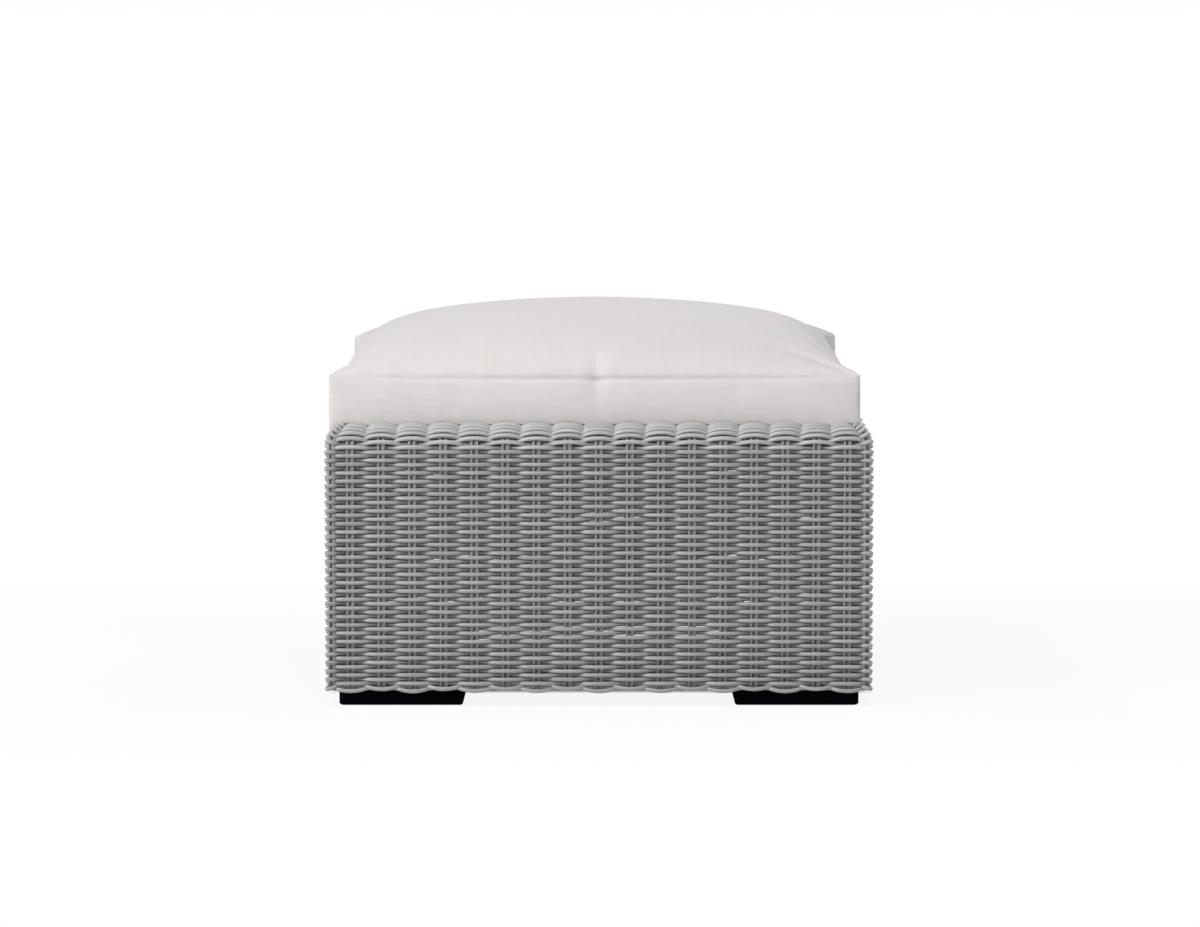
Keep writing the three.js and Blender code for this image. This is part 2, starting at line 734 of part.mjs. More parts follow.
// Slider over the coil, with the bail that holds its pull. Its y is counted from the tape
const SLIDER_BASE = CLEARANCE;
const SLIDER_CHANNEL = COIL_HEIGHT + CLEARANCE;
const SLIDER_TOP = SLIDER_CHANNEL + SLIDER_PLATE;
const PULL_AXIS = SLIDER_TOP + CLEARANCE + PULL_THICKNESS / 2;
const BAIL_UNDERSIDE = PULL_AXIS + (PULL_THICKNESS * Math.SQRT2) / 2 + CLEARANCE;

function sliderGeometry() {
  const [halfX, halfZ] = [SLIDER_LENGTH / 2, SLIDER_WIDTH / 2];
  const outline = new THREE.Shape();
  outline.moveTo(-halfX, -halfZ * SLIDER_NOSE_SHARE);
  outline.lineTo(0, -halfZ);
  outline.lineTo(halfX, -halfZ);
  outline.lineTo(halfX, halfZ);
  outline.lineTo(0, halfZ);
  outline.lineTo(-halfX, halfZ * SLIDER_NOSE_SHARE);
  const channelHalf = COIL_WIDTH / 2 + CLEARANCE;
  const channel = box(-SLIDER_LENGTH, SLIDER_LENGTH, -OVERRUN, SLIDER_CHANNEL, -channelHalf, channelHalf);
  const [bailX, bailZ] = [BAIL_LENGTH / 2, BAIL_WIDTH / 2];
  const bailTop = BAIL_UNDERSIDE + BAIL_THICKNESS;
  const bail = box(-bailX, bailX, SLIDER_TOP - SLIDER_PLATE / 2, bailTop, -bailZ, bailZ);
  const eye = box(
    BAIL_THICKNESS - bailX,
    bailX - BAIL_THICKNESS,
    SLIDER_TOP,
    BAIL_UNDERSIDE,
    -SLIDER_WIDTH,
    SLIDER_WIDTH,
  );
  const body = toSolid(plateAlongY(outline, SLIDER_BASE, SLIDER_TOP)).subtract(toSolid(channel));
  return toGeometry(body.add(toSolid(bail).subtract(toSolid(eye))));
}

// Pull whose crossbar lies under the bail, with the axis it swings on at x = 0
function pullGeometry() {
  const bar = PULL_THICKNESS / 2;
  const half = PULL_WIDTH / 2;
  const tip = PULL_LENGTH - half;
  const shape = new THREE.Shape();
  shape.moveTo(-bar, -half);
  shape.lineTo(tip, -half);
  shape.absarc(tip, 0, half, -Math.PI / 2, Math.PI / 2);
  shape.lineTo(-bar, half);
  const eye = new THREE.Path();
  eye.moveTo(bar, -PULL_EYE_WIDTH / 2);
  eye.lineTo(bar, PULL_EYE_WIDTH / 2);
  eye.lineTo(PULL_EYE_LENGTH, PULL_EYE_WIDTH / 2);
  eye.lineTo(PULL_EYE_LENGTH, -PULL_EYE_WIDTH / 2);
  shape.holes.push(eye);
  return plateAlongY(shape, PULL_AXIS - bar, PULL_AXIS + bar);
}

// Four sides of the base
for (const side of SIDES) {
  const group = new THREE.Group();
  group.rotation.z = side.turn;
  ottoman.add(group);
  addPiece(`wicker_wall_${side.name}`, wallGeometry(side), "wicker", group);
  addPiece(`wicker_border_${side.name}`, borderGeometry(side), "wicker", group);
  addPiece(`top_rail_${side.name}`, topRailGeometry(side), "aluminium", group);
  addPiece(`bottom_rail_${side.name}`, bottomRailGeometry(side), "aluminium", group);
}

// Corner posts, feet and their screws
const CORNERS = [
  { name: "back_right", x: 1, y: 1 },
  { name: "back_left", x: -1, y: 1 },
  { name: "front_left", x: -1, y: -1 },
  { name: "front_right", x: 1, y: -1 },
];
let screwNumber = 0;
CORNERS.forEach((corner, k) => {
  const post = addPiece(`corner_post_${corner.name}`, postGeometry(), "aluminium");
  const postX = HALF_WIDTH - BOTTOM_RAIL_OFFSET;
  const postY = HALF_DEPTH - BOTTOM_RAIL_OFFSET;
  post.position.set(corner.x * postX, corner.y * postY, 0);

  const group = new THREE.Group();
  group.position.set(corner.x * (HALF_WIDTH - FOOT_INSET), corner.y * (HALF_DEPTH - FOOT_INSET), 0);
  group.rotation.z = (k * Math.PI) / 2;
  ottoman.add(group);
  addPiece(`foot_${corner.name}`, footGeometry(), "foot", group);
  for (const [x, y] of footScrewPlaces()) {
    screwNumber += 1;
    const screw = addPiece(`foot_screw_${screwNumber}`, screwGeometry(), "screw", group);
    screw.position.set(x, y, 0);
  }
});

// Deck slats, spaced evenly between the side rails
const slatSpace = (2 * (HALF_WIDTH - ROLL_RADIUS)) / (SLAT_COUNT + 1);
for (let k = 1; k <= SLAT_COUNT; k++) {
  const slat = addPiece(`deck_slat_${k}`, slatGeometry(), "aluminium");
  slat.position.x = (k - (SLAT_COUNT + 1) / 2) * slatSpace;
}

// Cushion
addPiece("cushion_cover", coverGeometry(), "cover");
addPiece("cushion_foam", foamGeometry(), "foam");
addPiece("cushion_pad_top", padGeometry(FOAM_TOP + CLEARANCE, SEAM_HEIGHT + 2 * CROWN), "fibre");
addPiece("cushion_pad_bottom", padGeometry(0, FOAM_BASE - CLEARANCE), "fibre");

// Zip, closed, with its slider at the right-hand end as the front sees it
const zip = new THREE.Group();
zip.position.set(CUSHION_SHIFT_X, ZIP_FACE - CLEARANCE, ZIP_HEIGHT);
ottoman.add(zip);
addPiece("zip_tape", zipTapeGeometry(), "zip", zip);
const runner = new THREE.Group();
runner.position.x = ZIP_LENGTH / 2 - SLIDER_LENGTH / 2 - SLIDER_END_SPACE;
zip.add(runner);
addPiece("zip_slider", sliderGeometry(), "zip_metal", runner);
addPiece("zip_pull", pullGeometry(), "zip_metal", runner);

export default ottoman;
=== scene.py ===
# Square patio ottoman: a woven base on a metal frame, black corner feet and a loose box cushion.
# Metres, +Z up, front towards -Y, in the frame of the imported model.
import math

import bpy
import numpy as np
from bpy.props import FloatProperty, FloatVectorProperty, IntProperty, PointerProperty
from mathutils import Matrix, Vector


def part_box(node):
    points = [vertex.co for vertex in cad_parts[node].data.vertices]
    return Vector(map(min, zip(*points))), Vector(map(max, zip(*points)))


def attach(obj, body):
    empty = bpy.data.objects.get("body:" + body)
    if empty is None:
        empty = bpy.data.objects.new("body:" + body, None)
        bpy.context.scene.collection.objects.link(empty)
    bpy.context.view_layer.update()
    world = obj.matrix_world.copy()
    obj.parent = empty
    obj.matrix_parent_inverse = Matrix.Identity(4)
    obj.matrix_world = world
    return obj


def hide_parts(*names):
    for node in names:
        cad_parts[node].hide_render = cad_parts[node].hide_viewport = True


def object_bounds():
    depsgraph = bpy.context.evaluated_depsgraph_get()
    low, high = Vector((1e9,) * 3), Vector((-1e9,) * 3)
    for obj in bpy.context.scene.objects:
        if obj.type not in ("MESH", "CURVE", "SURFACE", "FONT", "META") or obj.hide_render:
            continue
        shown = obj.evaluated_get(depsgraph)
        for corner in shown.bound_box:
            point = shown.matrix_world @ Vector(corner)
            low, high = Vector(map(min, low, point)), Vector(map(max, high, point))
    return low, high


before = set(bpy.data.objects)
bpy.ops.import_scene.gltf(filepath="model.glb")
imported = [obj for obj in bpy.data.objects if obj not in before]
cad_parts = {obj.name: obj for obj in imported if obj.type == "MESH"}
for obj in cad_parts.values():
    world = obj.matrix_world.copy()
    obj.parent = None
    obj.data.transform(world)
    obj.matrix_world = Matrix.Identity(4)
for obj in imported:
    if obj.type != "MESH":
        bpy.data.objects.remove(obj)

CAD_LOW, CAD_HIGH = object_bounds()

bl_info = {
    "name": "Wicker Ottoman",
    "version": (1, 0, 0),
    "blender": (4, 5, 0),
    "location": "3D View > Sidebar > Ottoman",
    "description": "Weaves the base, sews the cushion and sets the stage of a square patio ottoman",
    "category": "Object",
}

MM = 0.001
SIDES = ("back", "right", "front", "left")

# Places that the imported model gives
RAIL_LOW, RAIL_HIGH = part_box("top_rail_back")
RAIL_REACH = (RAIL_LOW.y + RAIL_HIGH.y) / 2
RAIL_Z = (RAIL_LOW.z + RAIL_HIGH.z) / 2
ROLL_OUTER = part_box("wicker_border_back")[1].y - RAIL_REACH
COVER_LOW, COVER_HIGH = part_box("cushion_cover")
ZIP_LOW, ZIP_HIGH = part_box("zip_tape")


class WeaveSettings(bpy.types.PropertyGroup):
    strand: FloatProperty(
        name="Strand", description="Diameter of a woven strand", default=5.3 * MM, unit="LENGTH"
    )
    stake_depth: FloatProperty(
        name="Stake depth", description="Space that a stake takes between strands",
        default=4.4 * MM, unit="LENGTH",
    )
    rod: FloatProperty(
        name="Rod", description="Diameter of one of the three rods of a stake",
        default=3.9 * MM, unit="LENGTH",
    )
    stakes: IntProperty(
        name="Stakes", description="Stakes on one side, without the corner stakes",
        default=17, min=5, max=41,
    )
    corner_share: FloatProperty(
        name="Corner share", description="Space beside a corner stake as a share of the others",
        default=0.65, min=0.3, max=1,
    )
    row_pitch: FloatProperty(
        name="Row pitch", description="Height of one row on the wall",
        default=5.29 * MM, unit="LENGTH",
    )
    strand_colour: FloatVectorProperty(
        name="Strand colour", description="Colour of the resin strand", subtype="COLOR", size=4,
        default=(0.36, 0.362, 0.362, 1), min=0, max=1,
    )


class CushionSettings(bpy.types.PropertyGroup):
    seam_height: FloatProperty(
        name="Seam height", description="Height of the seam round the top panel",
        default=408.5 * MM, unit="LENGTH",
    )
    crown: FloatProperty(
        name="Crown", description="Rise of the top panel over its seam",
        default=75 * MM, unit="LENGTH",
    )
    fabric_colour: FloatVectorProperty(
        name="Fabric colour", description="Colour of the cushion cover", subtype="COLOR", size=4,
        default=(0.72, 0.695, 0.685, 1), min=0, max=1,
    )


class StageSettings(bpy.types.PropertyGroup):
    lens: FloatProperty(
        name="Lens", description="Focal length on a 36 mm wide sensor", default=165.3, min=20, max=400
    )
    distance: FloatProperty(
        name="Distance", description="From the camera to the front of the weave", default=6.83,
        unit="LENGTH",
    )
    height: FloatProperty(
        name="Height", description="Camera height over the floor", default=0.94, unit="LENGTH"
    )
    pitch: FloatProperty(
        name="Pitch", description="Angle at which the camera looks down",
        default=math.radians(5.305), unit="ROTATION",
    )


# Strands: faces round one, steps from one stake to the next, and the length by which the grain of
# each is set off from that of the next
STRAND_SIDES = 8
STEPS_PER_STAKE = 8
STRAND_SHIFT = 0.37


def write_mesh(name, points, faces, attributes=None, material=None, smooth=True):
    """Makes an object from an array of points and arrays of faces, one for each face size."""
    mesh = bpy.data.meshes.new(name)
    mesh.vertices.add(len(points))
    mesh.vertices.foreach_set("co", np.asarray(points, np.float32).ravel())
    corners = np.concatenate([f.ravel() for f in faces]).astype(np.int32)
    counts = np.concatenate([np.full(len(f), f.shape[1]) for f in faces])
    starts = np.concatenate([[0], np.cumsum(counts)[:-1]]).astype(np.int32)
    mesh.loops.add(len(corners))
    mesh.loops.foreach_set("vertex_index", corners)
    mesh.polygons.add(len(counts))
    mesh.polygons.foreach_set("loop_start", starts)
    if smooth:
        mesh.polygons.foreach_set("use_smooth", np.ones(len(counts), bool))
    for key, values in (attributes or {}).items():
        layer = mesh.attributes.new(key, "FLOAT_VECTOR", "POINT")
        layer.data.foreach_set("vector", np.asarray(values, np.float32).ravel())
    mesh.update(calc_edges=True)
    mesh.validate()
    if material:
        mesh.materials.append(material)
    piece = bpy.data.objects.new(name, mesh)
    bpy.context.scene.collection.objects.link(piece)
    return piece


def read_values(items, key, size=1, kind=np.float32):
    """One property of all vertices, corners or faces of a mesh, in rows where its size is over 1."""
    values = np.empty(len(items) * size, kind)
    items.foreach_get(key, values)
    return values.reshape(-1, size) if size > 1 else values


def vertex_places(mesh):
    return read_values(mesh.vertices, "co", 3).astype(float)


def move_vertices(mesh, places):
    mesh.vertices.foreach_set("co", places.astype(np.float32).ravel())
    mesh.update()


def eased(share):
    """Share from 0 to 1 with a soft start and end."""
    return share * share * (3 - 2 * share)


def unit_rows(vectors):
    return vectors / np.linalg.norm(vectors, axis=-1, keepdims=True)


def sweep(centres, across, radius, sides, closed):
    """Round strand along each path. centres and across are (paths, steps, 3), across being a
    direction roughly square to the path. Gives points, faces and the strand coordinates."""
    paths, steps, _ = centres.shape
    if closed:
        along = np.roll(centres, -1, 1) - np.roll(centres, 1, 1)
        gaps = np.linalg.norm(np.roll(centres, -1, 1) - centres, axis=-1)
    else:
        along = np.gradient(centres, axis=1)
        gaps = np.linalg.norm(np.diff(centres, axis=1), axis=-1)
        gaps = np.concatenate([gaps, np.zeros((paths, 1))], 1)
    along = unit_rows(along)
    side = unit_rows(across - along * np.sum(across * along, -1, keepdims=True))
    out = np.cross(along, side)
    turn = 2 * math.pi * np.arange(sides) / sides
    ring = (
        side[:, :, None, :] * np.cos(turn)[None, None, :, None]
        + out[:, :, None, :] * np.sin(turn)[None, None, :, None]
    )
    points = centres[:, :, None, :] + radius * ring

    length = np.cumsum(gaps, 1) - gaps
    if closed:
        whole = gaps.sum(1, keepdims=True)
        length = np.abs(length - whole / 2)
    coordinates = np.empty(points.shape)
    coordinates[..., 0] = np.cos(turn)[None, None, :]
    coordinates[..., 1] = np.sin(turn)[None, None, :]
    coordinates[..., 2] = length[:, :, None] + STRAND_SHIFT * np.arange(paths)[:, None, None]

    last = steps if closed else steps - 1
    path = np.arange(paths)[:, None, None] * steps * sides
    step = np.arange(last)[None, :, None]
    spot = np.arange(sides)[None, None, :]
    here = path + step * sides
    there = path + ((step + 1) % steps) * sides
    nearer = (spot + 1) % sides
    quads = np.stack([here + spot, here + nearer, there + nearer, there + spot], -1).reshape(-1, 4)
    faces = [quads]
    if not closed:
        first = (np.arange(paths)[:, None] * steps * sides) + np.arange(sides)[None, :]
        final = first + (steps - 1) * sides
        faces += [first[:, ::-1], final]
    return points.reshape(-1, 3), faces, coordinates.reshape(-1, 3)


# Weave: squareness of a strand's wave, how much wider it goes round a corner stake and over what
# length, and the rounding of the weave's corners in plan
WAVE_SQUARE = 1.0
KNOT_PROUD = 4.2 * MM
KNOT_REACH = 8 * MM
PLAN_CORNER = 8 * MM

# Depth of the passes behind the stakes as a share of those in front, how far they hang on the wall,
# and how much more under the roll, and over how many rows
BACK_SHARE = 0.8
WALL_DROOP = 0.6 * MM
TOP_DROOP = 0.9 * MM
TOP_DROOP_ROWS = 1.2

# Power by which a strand dives sooner beside a corner stake than half way to the next stake
CORNER_QUICKNESS = 2.1

# Height of the middle of the lowest straight row, and of the two hem rows under it
FIRST_ROW_Z = 29.1 * MM
HEM_ROWS_Z = (22.5 * MM, 19.8 * MM)

# Rise of the hem behind the stakes, and how far it is drawn up where it crosses the wall
HEM_RISE = 2.6 * MM
HEM_PINCH = 1.6 * MM

# Angles of the rows on the roll: first row, first and last step between rows, and where they end
ROLL_FIRST = math.radians(-0.6)
ROLL_STEP = math.radians(5.8)
ROLL_WIDENING = math.radians(7.9)
ROLL_WIDENING_SHARE = 0.56
ROLL_END = math.radians(126)

# How far the rows on the roll drop between their arcs, and how much more they stand out there
ROLL_DROOP = 3.1 * MM
ROLL_SWELL = 1.12

# Share by which a pass behind a stake hangs lower than where the strand crosses the wall
BACK_DROOP_SHARE = 0.3

# Lightness of the border against that of the walls: painted light for its strands, which face up to
# the lamps
BORDER_PAINTED_LIGHT = 1.29

# How far beside a corner the last stake stands on the roll, as a share of its place on the wall
ROLL_CORNER_SHARE = 0.4

# Rods of a stake: place beside its middle line, depth behind its middle plane, and stations of their
# path on the wall and on the roll
ROD_PLACES = (-3.35 * MM, -1.0 * MM, 3.55 * MM)
ROD_DEPTHS = (-0.8 * MM, 1.2 * MM, -0.8 * MM)
WALL_STATIONS = 3
ROLL_STATIONS = 13

# Number of pieces that the rows of the walls are made up in, and unevenness of the rows of the hem,
# the walls and the border
WEAVE_BANDS = 4
HEM_UNEVEN = 0.15 * MM
WALL_UNEVEN = 0.2 * MM
BORDER_UNEVEN = 0.12 * MM


def wall_rows():
    """Number of straight rows on the wall, from over the hem up to the rail."""
    pitch = bpy.context.scene.ottoman_weave.row_pitch
    return int((RAIL_Z - pitch / 2 - FIRST_ROW_Z) / pitch) + 1


def stake_surface():
    """Distance of the stakes' middle plane from the middle of the rail."""
    weave = bpy.context.scene.ottoman_weave
    return ROLL_OUTER - weave.strand - weave.stake_depth / 2


def stake_pitch():
    weave = bpy.context.scene.ottoman_weave
    reach = RAIL_REACH + stake_surface()
    return 2 * reach / (weave.stakes - 1 + 2 * weave.corner_share)


def stake_places(tilt):
    """Distance along one side to each stake, corner to corner, where the surface leans by tilt."""
    weave = bpy.context.scene.ottoman_weave
    pitch = stake_pitch()
    reach = RAIL_REACH + stake_surface() * math.cos(tilt)
    middle = (weave.stakes - 1) / 2
    places = (np.arange(weave.stakes) - middle) * pitch
    share = ROLL_CORNER_SHARE + (1 - ROLL_CORNER_SHARE) * max(0.0, math.cos(tilt))
    last = reach - weave.corner_share * pitch * share
    places = np.clip(places, -last, last)
    corner = reach - PLAN_CORNER + PLAN_CORNER * math.pi / 4
    return np.concatenate([[-corner], places, [corner]])


def on_side(q, tilt):
    """Place on one side's stake surface, for distances q from its middle: s along it, p outwards,
    and the outward direction."""
    reach = RAIL_REACH + stake_surface() * math.cos(tilt)
    straight = reach - PLAN_CORNER
    turn = np.maximum(0, np.abs(q) - straight) / PLAN_CORNER
    s = np.sign(q) * (np.minimum(np.abs(q), straight) + PLAN_CORNER * np.sin(turn))
    p = straight + PLAN_CORNER * np.cos(turn)
    return s, p, np.sign(q) * np.sin(turn), np.cos(turn)


def turned(side, s, p):
    """Turns a place on one side into x and y. The sides follow one another clockwise from above."""
    if side == "back":
        return s, p
    if side == "right":
        return p, -s
    if side == "front":
        return -s, -p
    return -p, s


def woven_row(z, tilt, parity, uneven, droop=0.0, pinch=0.0, swell=1.0):
    """One closed row: points and the direction square to it in the surface. Its passes behind the
    stakes hang down by droop, and where it crosses from front to back it is drawn up by pinch."""
    weave = bpy.context.scene.ottoman_weave
    anchors = stake_places(tilt)
    share = np.arange(STEPS_PER_STAKE) / STEPS_PER_STAKE
    spans = len(anchors) - 1
    place = np.tile(share, (spans, 1))
    place[0] = share ** CORNER_QUICKNESS
    place[-1] = 1 - (1 - share) ** CORNER_QUICKNESS
    q = (anchors[:-1, None] + np.diff(anchors)[:, None] * place).ravel()
    sign = np.where((np.arange(spans) + parity) % 2 == 0, -1.0, 1.0)
    wave = (sign[:, None] * np.cos(math.pi * share)[None, :]).ravel()
    wave = wave * (1 + WAVE_SQUARE) / (1 + WAVE_SQUARE * np.abs(wave))
    s, p, out_s, out_p = on_side(q, tilt)
    proud = KNOT_PROUD * np.exp(-(((anchors[-1] - np.abs(q)) / KNOT_REACH) ** 2))
    depth = wave * np.where(wave > 0, 1.0, BACK_SHARE) * swell
    depth *= (weave.strand + weave.stake_depth) / 2
    depth += proud * np.maximum(0, wave) * math.cos(tilt)
    sag = 1 - wave * np.where(wave > 0, 1.0, BACK_DROOP_SHARE if droop > 0 else 1.0)
    lift = pinch * (1 - wave * wave) - droop * sag / 2
    points, across = [], []
    for number, side in enumerate(SIDES):
        reach = depth * math.cos(tilt)
        x, y = turned(side, s + out_s * reach, p + out_p * reach)
        height = z + depth * math.sin(tilt) + lift + uneven[number]
        points.append(np.stack([x, y, np.broadcast_to(height, x.shape)], -1))
        ax, ay = turned(side, -out_s * math.sin(tilt), -out_p * math.sin(tilt))
        across.append(np.stack([ax, ay, np.full(x.shape, math.cos(tilt))], -1))
    return np.concatenate(points), np.concatenate(across)


def unevenness(rng, size):
    """Small smooth ups and downs of one row on each side, as hand weaving has."""
    weave = bpy.context.scene.ottoman_weave
    spans = weave.stakes + 1
    knots = rng.normal(0, size, (len(SIDES), spans))
    share = np.arange(STEPS_PER_STAKE) / STEPS_PER_STAKE
    ease = eased(share)
    after = np.roll(knots, -1, 1)
    after[:, -1] = np.roll(knots[:, 0], -1)
    return (knots[:, :, None] * (1 - ease) + after[:, :, None] * ease).reshape(len(SIDES), -1)


def add_strands(name, rows, material):
    centres = np.stack([row[0] for row in rows])
    across = np.stack([row[1] for row in rows])
    radius = bpy.context.scene.ottoman_weave.strand / 2
    points, faces, coordinates = sweep(centres, across, radius, STRAND_SIDES, True)
    piece = write_mesh(name, points, faces, {"strand": coordinates}, material)
    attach(piece, "base")
    return piece


def new_group(name, inputs, outputs):
    """Empty shader node group with its sockets, and its input and output nodes."""
    group = bpy.data.node_groups.new(name, "ShaderNodeTree")
    for label, kind, value in inputs:
        socket = group.interface.new_socket(label, in_out="INPUT", socket_type=kind)
        if value is not None:
            socket.default_value = value
    for label, kind in outputs:
        group.interface.new_socket(label, in_out="OUTPUT", socket_type=kind)
    return group, group.nodes.new("NodeGroupInput"), group.nodes.new("NodeGroupOutput")


def put(tree, kind, links=None, **settings):
    """Adds a node, sets its properties, and links or fills its inputs by name or number."""
    node = tree.nodes.new(kind)
    for key, value in settings.items():
        setattr(node, key, value)
    for key, value in (links or {}).items():
        if isinstance(value, bpy.types.NodeSocket):
            tree.links.new(value, node.inputs[key])
        else:
            node.inputs[key].default_value = value
    return node


def maths(tree, operation, *values, kind="ShaderNodeMath", **settings):
    """Output of a math node over values, which are sockets or constants."""
    return put(tree, kind, dict(enumerate(values)), operation=operation, **settings).outputs[0]


def noise(tree, place, scale, detail, roughness=0.5):
    links = {"Vector": place, "Scale": scale, "Detail": detail, "Roughness": roughness}
    return put(tree, "ShaderNodeTexNoise", links).outputs["Fac"]


def put_out(group, made, values):
    """Links values to the outputs of a node group."""
    for label, value in values.items():
        group.links.new(value, made.inputs[label])
    return group


def strand_grain_group():
    """Fine ridges along a drawn resin strand, and slow changes of tone along it."""
    name = "Strand grain"
    if name in bpy.data.node_groups:
        return bpy.data.node_groups[name]
    group, given, made = new_group(
        name,
        [("Ridges", "NodeSocketFloat", 2.6), ("Length", "NodeSocketFloat", 9.0)],
        [("Streak", "NodeSocketFloat"), ("Tone", "NodeSocketFloat"), ("Height", "NodeSocketFloat")],
    )
    place = put(group, "ShaderNodeAttribute", attribute_name="strand").outputs["Vector"]
    apart = put(group, "ShaderNodeSeparateXYZ", {0: place}).outputs
    factors = (("X", "Ridges"), ("Y", "Ridges"), ("Z", "Length"))
    parts = [maths(group, "MULTIPLY", apart[axis], given.outputs[factor]) for axis, factor in factors]
    fine_place = put(group, "ShaderNodeCombineXYZ", dict(enumerate(parts))).outputs[0]
    slow = maths(group, "MULTIPLY", apart["Z"], 2.3)
    slow_place = put(group, "ShaderNodeCombineXYZ", {2: slow}).outputs[0]
    streak = noise(group, fine_place, 1.0, 3.0, 0.65)
    tone = noise(group, slow_place, 1.6, 2.0, 0.6)
    return put_out(group, made, {"Streak": streak, "Tone": tone, "Height": streak})


def new_material(name):
    """Material with its node tree and its Principled BSDF."""
    material = bpy.data.materials.new(name)
    material.use_nodes = True
    return material, material.node_tree, material.node_tree.nodes["Principled BSDF"]


def scaled(colour, factor):
    return tuple(min(1.0, c * factor) for c in colour[:3]) + (1.0,)


def grey(level):
    return (level, level, level, 1)


def ramp(tree, fac, stops):
    """Colour ramp over fac. stops are (position, colour)."""
    node = put(tree, "ShaderNodeValToRGB", {"Fac": fac})
    elements = node.color_ramp.elements
    while len(elements) < len(stops):
        elements.new(0.5)
    for element, (position, colour) in zip(elements, stops):
        element.position = position
        element.color = colour
    return node.outputs["Color"]


def set_surface(tree, shader, colour, grain, roughness, height, depth, strength):
    """Links the colour, a range of roughness over the grain, and a bump to the shader."""
    rough = put(
        tree, "ShaderNodeMapRange", {"Value": grain, "To Min": roughness[0], "To Max": roughness[1]}
    )
    bump = put(tree, "ShaderNodeBump", {"Height": height, "Distance": depth, "Strength": strength})
    tree.links.new(colour, shader.inputs["Base Color"])
    tree.links.new(rough.outputs[0], shader.inputs["Roughness"])
    tree.links.new(bump.outputs[0], shader.inputs["Normal"])


def wicker_material(name="Grey resin wicker", lightness=1.0):
    if name in bpy.data.materials:
        return bpy.data.materials[name]
    colour = scaled(bpy.context.scene.ottoman_weave.strand_colour, lightness)
    material, tree, shader = new_material(name)
    grain = put(tree, "ShaderNodeGroup", node_tree=strand_grain_group()).outputs
    streaks = ramp(
        tree, grain["Streak"],
        [(0.30, scaled(colour, 0.7)), (0.5, scaled(colour, 1.07)), (0.68, scaled(colour, 1.28))],
    )
    tones = ramp(tree, grain["Tone"], [(0.3, grey(0.86)), (0.7, grey(1.0))])
    mixed = multiply_colours(tree, streaks, tones)
    set_surface(tree, shader, mixed, grain["Streak"], (0.28, 0.42), grain["Height"], 0.0007, 0.5)
    shader.inputs["Specular IOR Level"].default_value = 0.62
    return material


def multiply_colours(tree, first, second):
    """Product of two colours that both change over the surface."""
    node = put(tree, "ShaderNodeMix", data_type="RGBA", blend_type="MULTIPLY")
    node.inputs["Factor"].default_value = 1.0
    colours = [socket for socket in node.inputs if socket.type == "RGBA"]
    tree.links.new(first, colours[0])
    tree.links.new(second, colours[1])
    return [socket for socket in node.outputs if socket.type == "RGBA"][0]


def canvas_group():
    """Plain canvas with slubs. The thread attribute holds metres across and along the slubs."""
    name = "Slubbed canvas"
    if name in bpy.data.node_groups:
        return bpy.data.node_groups[name]
    group, given, made = new_group(
        name,
        [("Thread", "NodeSocketFloat", 1700.0), ("Slub", "NodeSocketFloat", 260.0)],
        [("Slubs", "NodeSocketFloat"), ("Mottle", "NodeSocketFloat"), ("Height", "NodeSocketFloat")],
    )
    place = put(group, "ShaderNodeAttribute", attribute_name="thread").outputs["Vector"]
    slubs = 0.0
    for stretch, share in (((1.0, 0.075, 1.0), 0.68), ((0.11, 1.0, 1.0), 0.32)):
        stretched = maths(group, "MULTIPLY", place, stretch, kind="ShaderNodeVectorMath")
        slub = noise(group, stretched, given.outputs["Slub"], 2.0)
        slubs = maths(group, "MULTIPLY_ADD", slub, share, slubs)
    apart = put(group, "ShaderNodeSeparateXYZ", {0: place}).outputs
    waves = [
        maths(group, "SINE", maths(group, "MULTIPLY", apart[axis], given.outputs["Thread"]))
        for axis in ("X", "Y")
    ]
    height = maths(group, "MULTIPLY_ADD", maths(group, "MULTIPLY", *waves), 0.16, slubs)
    mottle = noise(group, place, 22.0, 3.0)
    return put_out(group, made, {"Slubs": slubs, "Mottle": mottle, "Height": height})


def canvas_material():
    name = "Off-white canvas"
    if name in bpy.data.materials:
        return bpy.data.materials[name]
    colour = bpy.context.scene.ottoman_cushion.fabric_colour
    material, tree, shader = new_material(name)
    cloth = put(tree, "ShaderNodeGroup", node_tree=canvas_group()).outputs
    slubs = ramp(
        tree, cloth["Slubs"],
        [(0.34, scaled(colour, 0.975)), (0.5, scaled(colour, 1.0)), (0.66, scaled(colour, 1.015))],
    )
    mottle = ramp(tree, cloth["Mottle"], [(0.3, grey(0.975)), (0.7, grey(1.0))])
    mixed = multiply_colours(tree, slubs, mottle)
    set_surface(tree, shader, mixed, cloth["Slubs"], (0.78, 0.95), cloth["Height"], 0.0006, 0.28)
    shader.inputs["Specular IOR Level"].default_value = 0.25
    shader.inputs["Sheen Weight"].default_value = 0.12
    shader.inputs["Sheen Roughness"].default_value = 0.5
    return material


def grain_group():
    """Fine grain of moulded plastic, powder coat and plated metal, with a slow change of tone."""
    name = "Fine grain"
    if name in bpy.data.node_groups:
        return bpy.data.node_groups[name]
    group, given, made = new_group(
        name,
        [("Grain", "NodeSocketFloat", 900.0), ("Stretch", "NodeSocketVector", (1.0, 1.0, 1.0))],
        [("Grain", "NodeSocketFloat"), ("Tone", "NodeSocketFloat")],
    )
    place = put(group, "ShaderNodeTexCoord").outputs["Object"]
    stretched = maths(
        group, "MULTIPLY", place, given.outputs["Stretch"], kind="ShaderNodeVectorMath"
    )
    fine = noise(group, stretched, given.outputs["Grain"], 3.0)
    slow = noise(group, place, 14.0, 2.0)
    return put_out(group, made, {"Grain": fine, "Tone": slow})


